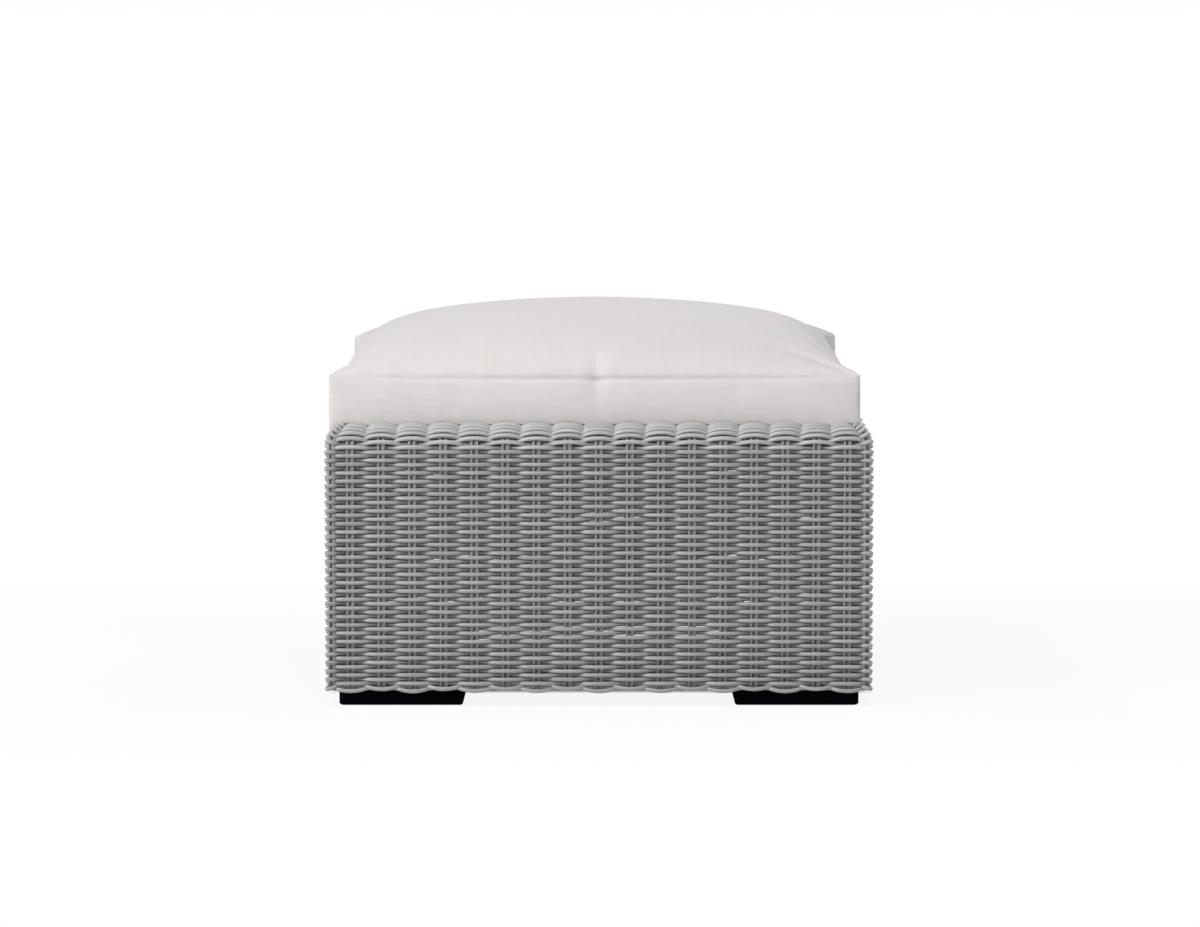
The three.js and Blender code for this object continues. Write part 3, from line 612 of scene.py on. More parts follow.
def grained_material(
    name, colour, roughness, metallic=0.0, grain=900.0, stretch=(1, 1, 1), depth=0.1
):
    """Finish of a plain piece: colour, roughness range, grain and its stretch, bump depth in mm."""
    if name in bpy.data.materials:
        return bpy.data.materials[name]
    material, tree, shader = new_material(name)
    node = put(tree, "ShaderNodeGroup", node_tree=grain_group())
    node.inputs["Grain"].default_value = grain
    node.inputs["Stretch"].default_value = stretch
    fine, tone = node.outputs["Grain"], node.outputs["Tone"]
    tones = ramp(tree, tone, [(0.3, scaled(colour, 0.85)), (0.7, scaled(colour, 1.15))])
    set_surface(tree, shader, tones, fine, roughness, fine, depth * MM, 0.6)
    shader.inputs["Metallic"].default_value = metallic
    return material


class OTTOMAN_OT_weave_walls(bpy.types.Operator):
    """Weaves the rows of the four walls, from the hem up to the rail"""

    bl_idname = "ottoman.weave_walls"
    bl_label = "Weave walls"

    def execute(self, context):
        rng = np.random.default_rng(7)
        count = wall_rows()
        rows = []
        for k, z in enumerate(reversed(HEM_ROWS_Z)):
            rows.append(woven_row(z, 0.0, k, unevenness(rng, HEM_UNEVEN), -HEM_RISE, HEM_PINCH))
        for k in range(count):
            z = FIRST_ROW_Z + k * context.scene.ottoman_weave.row_pitch
            droop = WALL_DROOP + TOP_DROOP * math.exp(-(count - 1 - k) / TOP_DROOP_ROWS)
            rows.append(woven_row(z, 0.0, k, unevenness(rng, WALL_UNEVEN), droop))
        edges = np.linspace(0, len(rows), WEAVE_BANDS + 1).astype(int)
        for number in range(WEAVE_BANDS):
            piece = add_strands(
                f"weave_band_{number + 1}", rows[edges[number]:edges[number + 1]], wicker_material()
            )
            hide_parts(*(f"wicker_wall_{side}" for side in SIDES))
        return {"FINISHED"}


class OTTOMAN_OT_roll_border(bpy.types.Operator):
    """Carries the weave over the top rail as the rolled border"""

    bl_idname = "ottoman.roll_border"
    bl_label = "Roll border"

    def execute(self, context):
        rng = np.random.default_rng(11)
        below = wall_rows()
        rows = []
        tilt = ROLL_FIRST
        step = ROLL_STEP + ROLL_WIDENING
        while tilt < ROLL_END:
            z = RAIL_Z + stake_surface() * math.sin(tilt)
            droop = ROLL_DROOP * max(0.0, math.cos(tilt))
            uneven = unevenness(rng, BORDER_UNEVEN)
            rows.append(woven_row(z, tilt, below + len(rows), uneven, droop, 0.0, ROLL_SWELL))
            tilt += step
            step = ROLL_STEP + (step - ROLL_STEP) * ROLL_WIDENING_SHARE
        half = len(rows) // 2
        # Painted light: the border is the walls' wicker made lighter, for its strands that face up to
        # the lamps
        pale = wicker_material("Sun-paled resin wicker", BORDER_PAINTED_LIGHT)
        for name, part in (("border_outer", rows[:half]), ("border_inner", rows[half:])):
            piece = add_strands(name, part, pale)
            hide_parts(*(f"wicker_border_{side}" for side in SIDES))
        return {"FINISHED"}


class OTTOMAN_OT_set_stakes(bpy.types.Operator):
    """Sets the upright stakes, which bend over the rail under the border"""

    bl_idname = "ottoman.set_stakes"
    bl_label = "Set stakes"

    def execute(self, context):
        weave = context.scene.ottoman_weave
        upright = np.linspace(HEM_ROWS_Z[1], RAIL_Z, WALL_STATIONS + 1)[:-1]
        heights = np.concatenate([upright, np.full(ROLL_STATIONS, RAIL_Z)])
        tilts = np.concatenate([np.zeros(WALL_STATIONS), np.linspace(0, ROLL_END, ROLL_STATIONS)])
        centres, across = [], []
        for number in range(weave.stakes + 1):
            for place, depth in zip(ROD_PLACES, ROD_DEPTHS):
                path = []
                for z, tilt in zip(heights, tilts):
                    q = stake_places(tilt)[number]
                    s, p, out_s, out_p = (float(v) for v in on_side(np.array(q), tilt))
                    s += out_p * place - out_s * depth * math.cos(tilt)
                    p -= out_s * place + out_p * depth * math.cos(tilt)
                    up = z + (stake_surface() - depth) * math.sin(tilt)
                    path.append((s, p, up, out_p, -out_s))
                path = np.array(path)
                for side in SIDES:
                    x, y = turned(side, path[:, 0], path[:, 1])
                    ax, ay = turned(side, path[:, 3], path[:, 4])
                    centres.append(np.stack([x, y, path[:, 2]], -1))
                    across.append(np.stack([ax, ay, np.zeros(len(x))], -1))
        points, faces, coordinates = sweep(
            np.stack(centres), np.stack(across), weave.rod / 2, STRAND_SIDES, False
        )
        piece = write_mesh("stakes", points, faces, {"strand": coordinates}, wicker_material())
        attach(piece, "base")
        return {"FINISHED"}


class OTTOMAN_OT_finish_frame(bpy.types.Operator):
    """Finishes the frame, the feet and their screws"""

    bl_idname = "ottoman.finish_frame"
    bl_label = "Finish frame"

    def execute(self, context):
        coat = grained_material("Dark powder coat", (0.09, 0.094, 0.1, 1), (0.4, 0.6), 0.0, 1400.0)
        foot = grained_material("Black moulded plastic", (0.001, 0.0022, 0.0036, 1), (0.6, 0.8))
        foot.node_tree.nodes["Principled BSDF"].inputs["Specular IOR Level"].default_value = 0.01
        zinc = grained_material("Zinc plate", (0.55, 0.56, 0.57, 1), (0.25, 0.45), 1.0, 600.0)
        nickel = grained_material("Satin nickel", (0.5, 0.51, 0.52, 1), (0.28, 0.42), 1.0, 800.0)
        finishes = (
            (("zip_slider", "zip_pull"), nickel),
            (("top_rail", "bottom_rail", "corner_post", "deck_slat"), coat),
            (("foot_front", "foot_back"), foot),
            (("foot_screw",), zinc),
        )
        for name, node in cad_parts.items():
            for starts, finish in finishes:
                if name.startswith(starts):
                    node.material_slots[0].material = finish
        return {"FINISHED"}


# Cushion: place of its middle, half widths at the front and back corners, half depth
CUSHION_X = -5.5 * MM
CUSHION_Y = (COVER_LOW.y + COVER_HIGH.y) / 2
CUSHION_HALF_FRONT = 332 * MM
CUSHION_HALF_BACK = 328 * MM
CUSHION_HALF_DEPTH = 328 * MM

# How far the sides, the front and the back are drawn in between the corners, and over what share of
# a side the ears reach, at the sides and at the front and back
DRAW_IN = 16.5 * MM
FRONT_DRAW_IN = 5 * MM
BACK_DRAW_IN = 9 * MM
SIDE_EAR_SHARE = 0.16
FRONT_EAR_SHARE = 0.5

# Roundness and fullness of the crown along and across
CROWN_ROUND_X = 1.75
CROWN_POWER_X = 0.35
CROWN_ROUND_Y = 2.0
CROWN_POWER_Y = 0.38

# Lift of the seam at all corners, further lift at the back ones, its share in the middle and how much
# that gains to the right, and by what power it fades away from the corners
CORNER_LIFT = 5.5 * MM
BACK_LIFT = 5 * MM
BACK_LIFT_SHARE = 0.7
BACK_LIFT_LEAN = 0.3
CORNER_LIFT_POWER = 5

# Bulge of the boxing, its fullness and how late it fades towards the corners, and their rounding
BOXING_BULGE = 3.2 * MM
BULGE_POWER = 0.6
BULGE_FADING = 8
CORNER_ROUNDING = 1.0 * MM
ROUNDING_QUICKNESS = 60

# Distance that the cushion keeps from the deck, how far it settles into the border and, more and
# less, between and over its arcs, and by what power of the way down the boxing takes that up
SEAT_CLEARANCE = 0.4 * MM
SEAT_SETTLING = 2.4 * MM
SEAT_SCALLOP = 1.9 * MM
SEAT_POWER = 6

# Steps across a panel and down the boxing, numbers of the panels, and share of the width from which a
# point counts as on the edge of its panel
PANEL_STEPS = 88
BOXING_STEPS = 14
TOP_PANEL, BOXING_PANEL, BOTTOM_PANEL = 0, 1, 2
EDGE_SHARE = 0.9999


def drawn(t, ear_share):
    """1 along the drawn-in middle of a side, falling to 0 at the ears of its corners."""
    return eased(np.minimum(1, (1 - np.abs(t)) / ear_share))


def cushion_plan(u, v, spread=0.0):
    """Place in plan of a point at shares u and v, from -1 to 1, of the cushion's width and depth."""
    half = CUSHION_HALF_FRONT + (CUSHION_HALF_BACK - CUSHION_HALF_FRONT) * (v + 1) / 2
    rounding = CORNER_ROUNDING * np.abs(u * v) ** ROUNDING_QUICKNESS
    spread = spread * (1 - np.abs(u * v) ** BULGE_FADING)
    out_x = np.sign(u) * (np.abs(u) > EDGE_SHARE) * spread
    out_y = np.sign(v) * (np.abs(v) > EDGE_SHARE) * spread
    x = u * (half - DRAW_IN * drawn(v, SIDE_EAR_SHARE) * np.abs(u) - rounding) + out_x
    drawn_in = np.where(v < 0, FRONT_DRAW_IN, BACK_DRAW_IN) * drawn(u, FRONT_EAR_SHARE) * np.abs(v)
    y = v * (CUSHION_HALF_DEPTH - drawn_in - rounding) + out_y
    return x + CUSHION_X, y + CUSHION_Y


def seam_z(u, v):
    """Height of the seam, which the filling lifts at the corners, and most at the back."""
    lift = CORNER_LIFT + BACK_LIFT * (v > 0) * (BACK_LIFT_SHARE + BACK_LIFT_LEAN * u)
    seam_height = bpy.context.scene.ottoman_cushion.seam_height
    return seam_height + lift * np.abs(u * v) ** CORNER_LIFT_POWER


def dome(u, v):
    """Rise of the crown as a share of its height in the middle."""
    across = np.maximum(0, 1 - np.abs(u) ** CROWN_ROUND_X) ** CROWN_POWER_X
    return across * np.maximum(0, 1 - np.abs(v) ** CROWN_ROUND_Y) ** CROWN_POWER_Y


def seat_z(x, y):
    """Height of what the cushion rests on: the deck, and the border round it."""
    reach = np.maximum(np.abs(x), np.abs(y)) - RAIL_REACH
    along = np.where(np.abs(x) > np.abs(y), y, x)
    roll = ROLL_OUTER - SEAT_SETTLING + SEAT_SCALLOP * np.cos(2 * math.pi * along / stake_pitch())
    over = RAIL_Z + np.sqrt(np.maximum(0, roll * roll - reach * reach))
    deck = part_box("deck_slat_1")[1].z + SEAT_CLEARANCE
    return np.maximum(deck, over)


def panel_grid(steps):
    """Square panel, finer towards its edges: shares u and v of its points, the points round its edge,
    and its quads."""
    share = np.sin(np.linspace(-1, 1, steps + 1) * math.pi / 2)
    u, v = np.meshgrid(share, share, indexing="ij")
    grid = np.arange((steps + 1) ** 2).reshape(steps + 1, steps + 1)
    edge = np.concatenate([grid[:-1, 0], grid[-1, :-1], grid[:0:-1, -1], grid[0, :0:-1]])
    quads = np.stack([grid[:-1, :-1], grid[1:, :-1], grid[1:, 1:], grid[:-1, 1:]], -1)
    return u, v, edge, quads.reshape(-1, 4)


def cushion_form():
    """Points, quads, the panel of each quad and the points of the seam of the closed cushion, before
    it is filled out."""
    u, v, edge, panel = panel_grid(PANEL_STEPS)
    crown = bpy.context.scene.ottoman_cushion.crown
    x, y = cushion_plan(u, v)
    top = np.stack([x, y, seam_z(u, v) + crown * dome(u, v)], -1).reshape(-1, 3)
    bottom = np.stack([x, y, seat_z(x, y)], -1).reshape(-1, 3)

    eu, ev = u.ravel()[edge], v.ravel()[edge]
    high, low = seam_z(eu, ev), bottom[edge, 2]
    level = RAIL_Z + ROLL_OUTER - SEAT_SETTLING
    rings = []
    for k in range(1, BOXING_STEPS):
        fall = (1 - math.cos(math.pi * k / BOXING_STEPS)) / 2
        bulge = BOXING_BULGE * (4 * fall * (1 - fall)) ** BULGE_POWER
        z = high + (level - high) * fall + (low - level) * fall ** SEAT_POWER
        rings.append(np.stack([*cushion_plan(eu, ev, bulge), z], -1))

    under = len(top) + len(rings) * len(edge)
    loops = [edge, *np.arange(len(top), under).reshape(len(rings), -1), under + edge]
    quads, kinds = [panel], [np.full(len(panel), TOP_PANEL)]
    for upper, lower in zip(loops[:-1], loops[1:]):
        quads.append(np.stack([upper, lower, np.roll(lower, -1), np.roll(upper, -1)], -1))
        kinds.append(np.full(len(upper), BOXING_PANEL))
    quads.append(under + panel[:, ::-1])
    kinds.append(np.full(len(panel), BOTTOM_PANEL))
    points = np.concatenate([top, *rings, bottom])
    return points, np.concatenate(quads), np.concatenate(kinds), edge


# Filling out: frames, limit of movement and the fabric, whose shrinkage below 0 is slack
FILL_FRAMES = 20
FILL_LIMIT = 5 * MM
FABRIC = {
    "quality": 8, "mass": 0.15, "tension_stiffness": 8, "compression_stiffness": 8,
    "shear_stiffness": 4, "bending_stiffness": 2, "shrink_min": -0.001,
    "use_pressure": True, "uniform_pressure_force": 4, "vertex_group_mass": "held",
}


def fill_out(cover, held):
    """Fills the cover with cloth simulation: air pressure against a held seam, within a limit."""
    start = vertex_places(cover.data)
    group = cover.vertex_groups.new(name="held")
    group.add([int(i) for i in held], 1.0, "REPLACE")
    cloth = cover.modifiers.new("cloth", "CLOTH")
    for key, value in FABRIC.items():
        setattr(cloth.settings, key, value)
    cloth.settings.effector_weights.gravity = 0
    cloth.collision_settings.use_collision = False
    cloth.point_cache.frame_start = 1
    cloth.point_cache.frame_end = FILL_FRAMES
    for number in range(1, FILL_FRAMES + 1):
        bpy.context.scene.frame_set(number)
    shown = cover.evaluated_get(bpy.context.evaluated_depsgraph_get())
    moved = vertex_places(shown.data) - start
    length = np.linalg.norm(moved, axis=1, keepdims=True)
    moved *= FILL_LIMIT * np.tanh(length / FILL_LIMIT) / np.maximum(length, 1e-9)
    cover.modifiers.remove(cloth)
    cover.vertex_groups.remove(group)
    move_vertices(cover.data, start + moved)
    bpy.context.scene.frame_set(1)


def subdivide(piece):
    """Adds one level of smooth subdivision and applies it."""
    smoother = piece.modifiers.new("smoother", "SUBSURF")
    smoother.levels = 1
    shown = piece.evaluated_get(bpy.context.evaluated_depsgraph_get())
    mesh = bpy.data.meshes.new_from_object(shown)
    piece.modifiers.remove(smoother)
    piece.data = mesh


# Seam round the top panel: width and depth of its crease, reach of the ears, where it fades, how far
# the panel overhangs it, over what reach, and the share of that which goes upwards
CREASE_WIDTH = 3.5 * MM
CREASE_DEPTH = 2.3 * MM
EAR_REACH = 25 * MM
OVERHANG = 2.0 * MM
OVERHANG_REACH = 9 * MM
OVERHANG_RISE = 0.2

# Strength of the seam towards the corners, reach of its strong middle, and share by which the gathers
# vary it
SEAM_FAINT = 0.45
SEAM_STRONG_REACH = 170 * MM
SEAM_VARIATION = 0.3

# Gathers along the seam: height, reach, half width of the seam that they leave as it is, and their
# waves, each with its length, share of the height, and shift as a share of the length
GATHER_HEIGHT = 0.38 * MM
GATHER_REACH = 14 * MM
GATHER_START = 0.5 * MM
GATHER_WAVES = ((66 * MM, 0.42, 0.21), (37 * MM, 0.33, 0.06), (21 * MM, 0.25, 0.33))

# Pucker in the middle of the front seam: place, half width, reach and depth
PUCKER_X = -2 * MM
PUCKER_WIDTH = 9 * MM
PUCKER_REACH = 22 * MM
PUCKER_DEPTH = 5.5 * MM

# Points whose distance from the seam is worked out at one time
DISTANCE_BATCH = 4096


def panel_kinds(mesh):
    """Number of the panel that each face of the cover belongs to."""
    return read_values(mesh.attributes["panel"].data, "value", kind=np.int32)


def seam_distance(places, near, seam):
    """Distance of each near point from the seam, and a metre for the others."""
    distance = np.ones(len(places))
    chosen = np.flatnonzero(near)
    for first in range(0, len(chosen), DISTANCE_BATCH):
        part = chosen[first:first + DISTANCE_BATCH]
        gap = places[part][:, None, :] - seam[None, :, :]
        distance[part] = np.sqrt((gap * gap).sum(-1).min(1))
    return distance


def finish_seams(cover):
    """Creases the cover along its seam and gathers it there."""
    mesh = cover.data
    places = vertex_places(mesh)
    normals = read_values(mesh.vertices, "normal", 3).astype(float)
    kinds = panel_kinds(mesh)
    faces = read_values(mesh.loops, "vertex_index", kind=np.int32).reshape(-1, 4)
    on_top, on_boxing = np.zeros((2, len(places)), bool)
    on_top[faces[kinds == TOP_PANEL]] = True
    on_boxing[faces[kinds == BOXING_PANEL]] = True
    near = places[:, 2] > RAIL_Z + ROLL_OUTER
    distance = seam_distance(places, near, places[on_top & on_boxing])
    along = np.where(np.abs(normals[:, 0]) > np.abs(normals[:, 1]), places[:, 1], places[:, 0])
    corner = np.min([
        np.hypot(*(places[:, :2] - np.array(cushion_plan(u, v))).T) for u in (-1, 1) for v in (-1, 1)
    ], axis=0)
    crease = CREASE_DEPTH * np.exp(-((distance / CREASE_WIDTH) ** 2))
    crease *= np.minimum(1, corner / EAR_REACH)
    waves = sum(
        share * np.sin(2 * math.pi * (along / length + shift))
        for length, share, shift in GATHER_WAVES
    )
    gather = GATHER_HEIGHT * waves * np.exp(-distance / GATHER_REACH)
    front = np.exp(-(((places[:, 0] - PUCKER_X) / PUCKER_WIDTH) ** 2)) * (places[:, 1] < 0)
    pucker = PUCKER_DEPTH * front * np.exp(-distance / PUCKER_REACH)
    share = distance / OVERHANG_REACH
    fading = SEAM_FAINT + (1 - SEAM_FAINT) * np.exp(-((along / SEAM_STRONG_REACH) ** 2))
    fading = fading * (1 + SEAM_VARIATION * waves)
    crease = crease * fading
    overhang = np.where(on_boxing, 0, OVERHANG * fading * share * np.exp(1 - share)) * near
    outward = normals * (1, 1, OVERHANG_RISE)
    moved = places + normals * (gather * (distance > GATHER_START) - pucker)[:, None]
    moved += outward * (overhang - crease)[:, None]
    move_vertices(mesh, moved)


# Zip: lips of the cover round its tape, width of their slope down to it, the gap that the cover
# leaves behind the tape, and the tape's thickness
LIP_HEIGHT = 2.4 * MM
LIP_REACH = 12 * MM
LIP_SLOPE = 4 * MM
TAPE_GAP = 0.3 * MM
TAPE_THICKNESS = 1.0 * MM

# Section of the tape from its lower edge to its middle: places as shares of half its width, and
# heights as shares of half its thickness, and its cross ribs
TAPE_PLACES = np.array([-1.0, -0.97, -0.9, -0.87, -0.3, -0.26, -0.2])
TAPE_HEIGHTS = np.array([0.4, 0.9, 0.9, 0.3, 0.3, 0.8, 1.0])
TAPE_RIB = 1.6 * MM
TAPE_RIB_HEIGHT = 0.08 * MM

# Coil: width, height, length of one turn, thickness of its thread, and steps round one turn
COIL_WIDTH = 4.6 * MM
COIL_HEIGHT = 0.9 * MM
COIL_TURN = 1.8 * MM
COIL_THREAD = 0.32 * MM
COIL_STEPS = 10

# Stitches along the tape: how far in from its edge, length, space and thickness, the shares of its
# length at which a stitch dips in and comes out, and its depth there in half thicknesses
STITCH_INSET = 3.2 * MM
STITCH_LENGTH = 2.6 * MM
STITCH_SPACE = 1.2 * MM
STITCH_THREAD = 0.3 * MM
STITCH_PLACES = np.array([0, 0.2, 0.8, 1])
STITCH_HEIGHTS = np.array([-1, 1, 1, -1])

# Faces round a thread, and the direction that its first face is turned to
THREAD_SIDES = 6
THREAD_ACROSS = np.array([0.0, 1.0, 0.3])


def set_in_zip(cover):
    """Presses the tape's place into the back of the cover, with a lip round it."""
    places = vertex_places(cover.data)
    middle, half = (ZIP_LOW + ZIP_HIGH) / 2, (ZIP_HIGH - ZIP_LOW) / 2
    past_x = np.abs(places[:, 0] - middle.x) - half.x
    past_z = np.abs(places[:, 2] - middle.z) - half.z
    past = np.maximum(past_x, past_z)
    back = places[:, 1] > ZIP_LOW.y - LIP_REACH
    lip = LIP_HEIGHT * np.exp(-((np.maximum(0, past) / LIP_REACH) ** 2))
    floor = ZIP_LOW.y - TAPE_GAP
    rise = eased(np.clip(past / LIP_SLOPE, 0, 1))
    lipped = np.minimum(places[:, 1], floor) * (1 - rise) + (places[:, 1] + lip) * rise
    places[:, 1] = np.where(back, lipped, places[:, 1])
    move_vertices(cover.data, places)


def give_threads(piece):
    """Writes the thread attribute: metres across and along the slubs, on each corner of each face."""
    mesh = piece.data
    place = vertex_places(mesh)[read_values(mesh.loops, "vertex_index", kind=np.int32)]
    of_face = np.repeat(np.arange(len(mesh.polygons)), 4)
    normals = read_values(mesh.polygons, "normal", 3)[of_face]
    boxing = (panel_kinds(mesh) == BOXING_PANEL)[of_face]
    facing_x = np.abs(normals[:, 0]) > np.abs(normals[:, 1])
    thread = np.stack([
        np.where(boxing, place[:, 2], place[:, 0]),
        np.where(boxing & ~facing_x, place[:, 0], place[:, 1]),
        np.where(boxing, BOXING_PANEL, TOP_PANEL),
    ], -1)
    layer = mesh.attributes.new("thread", "FLOAT_VECTOR", "CORNER")
    layer.data.foreach_set("vector", thread.astype(np.float32).ravel())


class OTTOMAN_OT_sew_cushion(bpy.types.Operator):
    """Sews the cushion cover and fills it out"""

    bl_idname = "ottoman.sew_cushion"
    bl_label = "Sew cushion"

    def execute(self, context):
        points, quads, kinds, edge = cushion_form()
        cover = write_mesh("cover", points, [quads], None, canvas_material())
        panel = cover.data.attributes.new("panel", "INT", "FACE")
        panel.data.foreach_set("value", kinds.astype(np.int32))
        fill_out(cover, np.concatenate([edge, np.unique(quads[kinds == BOTTOM_PANEL])]))
        subdivide(cover)
        finish_seams(cover)
        set_in_zip(cover)
        give_threads(cover)
        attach(cover, "cushion")
        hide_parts("cushion_cover")
        return {"FINISHED"}


class OTTOMAN_OT_set_zip(bpy.types.Operator):
    """Sets the zip's tape, coil and stitches in the back of the cover"""

    bl_idname = "ottoman.set_zip"
    bl_label = "Set zip"

    def execute(self, context):
        middle = (ZIP_LOW + ZIP_HIGH) / 2
        face = ZIP_LOW.y + TAPE_THICKNESS
        steps = int((ZIP_HIGH.x - ZIP_LOW.x) / COIL_TURN) * COIL_STEPS + 1
        turn = 2 * math.pi * np.arange(steps) / COIL_STEPS
        x = np.linspace(ZIP_LOW.x + COIL_THREAD, ZIP_HIGH.x - COIL_THREAD, steps)
        y = face + COIL_THREAD + COIL_HEIGHT * (1 + np.cos(turn)) / 2
        coil = [np.stack([x, y, middle.z + COIL_WIDTH / 2 * np.sin(turn)], -1)]
        first, last = ZIP_LOW.x + STITCH_SPACE, ZIP_HIGH.x - STITCH_LENGTH
        high = face + STITCH_HEIGHTS * STITCH_THREAD / 2
        stitches = [
            np.stack([STITCH_PLACES * STITCH_LENGTH + x, high, np.full(4, z)], -1)
            for z in (ZIP_LOW.z + STITCH_INSET, ZIP_HIGH.z - STITCH_INSET)
            for x in np.arange(first, last, STITCH_LENGTH + STITCH_SPACE)
        ]
        thread = grained_material("Off-white thread", (0.7, 0.68, 0.66, 1), (0.6, 0.8), 0.0, 2500.0)
        band = grained_material(
            "Woven tape", (0.62, 0.6, 0.58, 1), (0.75, 0.9), 0.0, 1800.0, (1, 1, 4)
        )
        threads = (("zip_coil", coil, COIL_THREAD), ("zip_stitches", stitches, STITCH_THREAD))
        for name, paths, radius in threads:
            centres = np.stack(paths)
            across = np.broadcast_to(THREAD_ACROSS, centres.shape)
            points, faces, _ = sweep(centres, across, radius, THREAD_SIDES, False)
            self.seat(write_mesh(name, points, faces, None, thread))
        self.seat(self.make_tape(face, band))
        return {"FINISHED"}

    def make_tape(self, face, material):
        """Tape: a flat band with a thicker edge above and below, and fine cross ribs."""
        half = (ZIP_HIGH.z - ZIP_LOW.z) / 2
        z = np.concatenate([TAPE_PLACES, -TAPE_PLACES[::-1]]) * half + (ZIP_LOW.z + ZIP_HIGH.z) / 2
        high = np.concatenate([TAPE_HEIGHTS, TAPE_HEIGHTS[::-1]])
        stations = int((ZIP_HIGH.x - ZIP_LOW.x) / TAPE_RIB * 2) + 1
        x = np.linspace(ZIP_LOW.x, ZIP_HIGH.x, stations)
        rib = TAPE_RIB_HEIGHT * (np.arange(stations) % 2)
        upper = np.stack(np.broadcast_arrays(
            x[:, None], face - (1 - high[None, :]) * TAPE_THICKNESS / 2 - rib[:, None], z[None, :]
        ), -1)
        lower = upper[:, ::-1].copy()
        lower[..., 1] = ZIP_LOW.y
        ring = np.concatenate([upper, lower], 1)
        count = ring.shape[1]
        station = np.arange(stations - 1)[:, None] * count
        here = station + np.arange(count)
        nearer = station + (np.arange(count) + 1) % count
        quads = np.stack([here, nearer, nearer + count, here + count], -1).reshape(-1, 4)
        first = np.arange(count)[None, :]
        last = (stations - 1) * count + first
        return write_mesh(
            "zip_band", ring.reshape(-1, 3), [quads, first[:, ::-1], last], None, material, False
        )

    def seat(self, piece):
        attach(piece, "cushion")
        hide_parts("zip_tape")


# Filling: steps across a layer, rounding of its corners, how far it stays inside the cover, gap
# between layers, which is also a pad's least thickness, and how far the pads stay from the crown and
# the seat
FILLING_STEPS = 36
FILLING_CORNER_SHARE = 0.3
FILLING_INSET = 12 * MM
FILLING_GAP = 0.5 * MM
PAD_UNDER_COVER = 9 * MM
PAD_OVER_SEAT = 4 * MM


def filling_layer(name, low, high, material):
    """Closed layer of the filling between the heights low and high, functions of a point's shares
    and place."""
    u, v, edge, panel = panel_grid(FILLING_STEPS)
    half = CUSHION_HALF_DEPTH - DRAW_IN - FILLING_INSET
    square = np.sqrt(1 - 0.5 * (u * v) ** 2 * FILLING_CORNER_SHARE)
    x = u * square * half + CUSHION_X
    y = v * square * half + CUSHION_Y
    upper = np.stack([x, y, high(u, v, x, y)], -1).reshape(-1, 3)
    lower = np.stack([x, y, low(u, v, x, y)], -1).reshape(-1, 3)
    under = len(upper)
    wall = np.stack([edge, under + edge, under + np.roll(edge, -1), np.roll(edge, -1)], -1)
    piece = write_mesh(
        name, np.concatenate([upper, lower]), [np.concatenate([panel, under + panel[:, ::-1], wall])],
        None, material,
    )
    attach(piece, "cushion")
    return piece


class OTTOMAN_OT_fill_cushion(bpy.types.Operator):
    """Lays the foam slab and the two fibre pads inside the cover"""

    bl_idname = "ottoman.fill_cushion"
    bl_label = "Fill cushion"

    def execute(self, context):
        foam_low, foam_high = (corner.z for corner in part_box("cushion_foam"))
        crown = context.scene.ottoman_cushion.crown

        def level(z):
            return lambda u, v, x, y: np.full(u.shape, z)

        def under_crown(u, v, x, y):
            return np.maximum(
                foam_high + 2 * FILLING_GAP, seam_z(0, 0) - PAD_UNDER_COVER + crown * dome(u, v)
            )

        def over_seat(u, v, x, y):
            return np.minimum(foam_low - 2 * FILLING_GAP, seat_z(x, y) + PAD_OVER_SEAT)

        foam = grained_material(
            "Cream foam", (0.78, 0.72, 0.5, 1), (0.8, 0.95), 0.0, 700.0, depth=0.4
        )
        fibre = grained_material("White wadding", (0.8, 0.8, 0.79, 1), (0.85, 0.98), 0.0, 300.0)
        above, below = level(foam_high + FILLING_GAP), level(foam_low - FILLING_GAP)
        layers = (
            ("foam_slab", level(foam_low), level(foam_high), foam, "foam", "cushion_foam"),
            ("pad_above", above, under_crown, fibre, "fibre", "cushion_pad_top"),
            ("pad_below", over_seat, below, fibre, "fibre", "cushion_pad_bottom"),
        )
        for name, low, high, material, slot, node in layers:
            piece = filling_layer(name, low, high, material)
            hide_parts(node)
        return {"FINISHED"}


# Lamps: name, place, size and power in watts, and the point that they face
LAMPS = (
    ("key_lamp", (-3.6, -3.2, 2.6), 1.6, 141.0),
    ("overhead_lamp", (-0.2, -1.1, 3.0), 2.6, 36.0),
    ("back_lamp", (2.8, 3.4, 2.0), 1.8, 60.0),
)
TARGET = Vector((0, 0, 0.25))

# Strength of the world's even light, half width of the floor, and the camera's place beside the
# middle, the width of its sensor in mm and how far it sees in metres
WORLD_STRENGTH = 0.29
FLOOR_REACH = 30.0
CAMERA_X = 1.3 * MM
SENSOR_WIDTH = 36
SIGHT = 100

# Share of the floor's own white by reach, in metres from the middle of the real shade under the
# ottoman, which lies a little to the back, and the share of x that counts as reach
FLOOR_OWN_WHITE = ((0.25, 0.0), (0.28, 0.9), (0.45, 0.9), (1.0, 1.0))
SHADE_MIDDLE_Y = 0.066
SHADE_SHARE_X = 0.8


class OTTOMAN_OT_set_stage(bpy.types.Operator):
    """Lays the floor and sets the lamps, the world and the camera"""

    bl_idname = "ottoman.set_stage"
    bl_label = "Set stage"

    def execute(self, context):
        stage = context.scene.ottoman_stage
        add_floor()
        add_camera(stage)
        for lamp in LAMPS:
            add_lamp(*lamp)
        light_world(WORLD_STRENGTH)
        context.scene.view_settings.view_transform = "Standard"
        return {"FINISHED"}


def add_lamp(name, place, size, power):
    """Square soft lamp that faces the ottoman."""
    data = bpy.data.lights.new(name, "AREA")
    data.shape = "SQUARE"
    data.size = size
    data.energy = power
    lamp = bpy.data.objects.new(name, data)
    lamp.location = place
    lamp.rotation_euler = (TARGET - Vector(place)).to_track_quat("-Z", "Y").to_euler()
    bpy.context.scene.collection.objects.link(lamp)


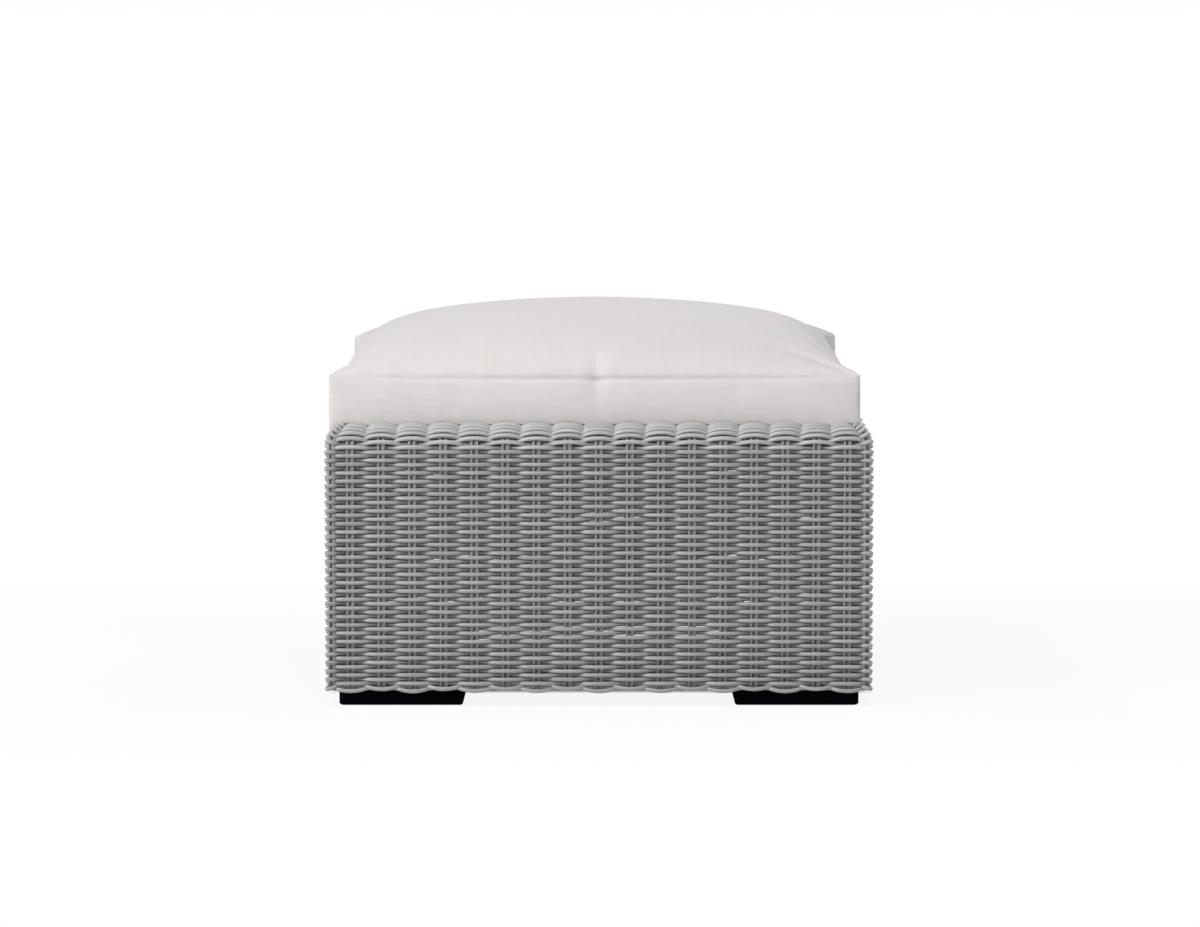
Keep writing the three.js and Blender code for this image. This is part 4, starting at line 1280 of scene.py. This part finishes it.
def seen_directly(tree):
    """1 for camera, glossy and transmission rays, 0 for the others."""
    ray = put(tree, "ShaderNodeLightPath").outputs
    first = maths(tree, "ADD", ray["Is Camera Ray"], ray["Is Glossy Ray"])
    return maths(tree, "ADD", first, ray["Is Transmission Ray"], use_clamp=True)


def light_world(strength):
    """Even pale light for the object, plain white where the camera sees it."""
    world = bpy.data.worlds.new("Studio")
    bpy.context.scene.world = world
    world.use_nodes = True
    tree = world.node_tree
    background = tree.nodes["Background"]
    background.inputs["Color"].default_value = (1, 1, 1, 1)
    level = put(
        tree, "ShaderNodeMapRange", {"Value": seen_directly(tree), "To Min": strength, "To Max": 1.0}
    )
    tree.links.new(level.outputs[0], background.inputs["Strength"])


def add_floor():
    """Wide pale floor. The camera sees its own white, which takes some shadow near the object and
    gives way to the real shade under its middle."""
    points = FLOOR_REACH * np.array([(-1, -1, 0), (1, -1, 0), (1, 1, 0), (-1, 1, 0)])
    material, tree, shader = new_material("Pale floor")
    mottle = put(tree, "ShaderNodeTexNoise", {"Scale": 6.0, "Detail": 3.0}).outputs["Fac"]
    pale = ramp(tree, mottle, [(0.3, grey(0.86)), (0.7, grey(0.89))])
    tree.links.new(pale, shader.inputs["Base Color"])
    shader.inputs["Roughness"].default_value = 0.9
    shader.inputs["Specular IOR Level"].default_value = 0.0
    glow = put(tree, "ShaderNodeEmission", {"Color": (1, 1, 1, 1), "Strength": 1.0})
    place = put(tree, "ShaderNodeTexCoord").outputs["Object"]
    set_off = maths(
        tree, "MULTIPLY_ADD", place, (SHADE_SHARE_X, 1, 1), (0, -SHADE_MIDDLE_Y, 0),
        kind="ShaderNodeVectorMath",
    )
    far = maths(tree, "ABSOLUTE", set_off, kind="ShaderNodeVectorMath")
    apart = put(tree, "ShaderNodeSeparateXYZ", {0: far}).outputs
    reach = maths(tree, "MAXIMUM", apart["X"], apart["Y"])
    own = ramp(tree, reach, [(at, grey(white)) for at, white in FLOOR_OWN_WHITE])
    share = maths(tree, "MULTIPLY", seen_directly(tree), own)
    mixed = put(tree, "ShaderNodeMixShader", {0: share, 1: shader.outputs[0], 2: glow.outputs[0]})
    tree.links.new(mixed.outputs[0], tree.nodes["Material Output"].inputs["Surface"])
    floor = write_mesh("floor", points, [np.array([[0, 1, 2, 3]])], None, material, False)


def add_camera(stage):
    data = bpy.data.cameras.new("camera")
    data.sensor_width = SENSOR_WIDTH
    data.lens = stage.lens
    data.clip_end = SIGHT
    camera = bpy.data.objects.new("camera", data)
    camera.location = (CAMERA_X, CAD_LOW.y - stage.distance, stage.height)
    camera.rotation_euler = (math.pi / 2 - stage.pitch, 0, 0)
    bpy.context.scene.collection.objects.link(camera)
    bpy.context.scene.camera = camera


class OTTOMAN_PT_sidebar(bpy.types.Panel):
    bl_idname = "OTTOMAN_PT_sidebar"
    bl_label = "Ottoman"
    bl_space_type = "VIEW_3D"
    bl_region_type = "UI"
    bl_category = "Ottoman"

    def draw(self, context):
        for operator in OPERATORS:
            self.layout.operator(operator.bl_idname)
        for settings in SETTINGS:
            group = getattr(context.scene, settings)
            for key in group.__annotations__:
                self.layout.prop(group, key)


SETTINGS = {
    "ottoman_weave": WeaveSettings,
    "ottoman_cushion": CushionSettings,
    "ottoman_stage": StageSettings,
}
OPERATORS = (
    OTTOMAN_OT_set_stage,
    OTTOMAN_OT_weave_walls,
    OTTOMAN_OT_roll_border,
    OTTOMAN_OT_set_stakes,
    OTTOMAN_OT_finish_frame,
    OTTOMAN_OT_sew_cushion,
    OTTOMAN_OT_set_zip,
    OTTOMAN_OT_fill_cushion,
)


def register():
    for made in (*SETTINGS.values(), *OPERATORS, OTTOMAN_PT_sidebar):
        bpy.utils.register_class(made)
    for name, settings in SETTINGS.items():
        setattr(bpy.types.Scene, name, PointerProperty(type=settings))


def unregister():
    for name in SETTINGS:
        delattr(bpy.types.Scene, name)
    for made in reversed((*SETTINGS.values(), *OPERATORS, OTTOMAN_PT_sidebar)):
        bpy.utils.unregister_class(made)


def main():
    register()
    bpy.ops.ottoman.set_stage()
    bpy.ops.ottoman.weave_walls()
    bpy.ops.ottoman.roll_border()
    bpy.ops.ottoman.set_stakes()
    bpy.ops.ottoman.finish_frame()
    bpy.ops.ottoman.sew_cushion()
    bpy.ops.ottoman.set_zip()
    bpy.ops.ottoman.fill_cushion()


if __name__ == "__main__":
    main()
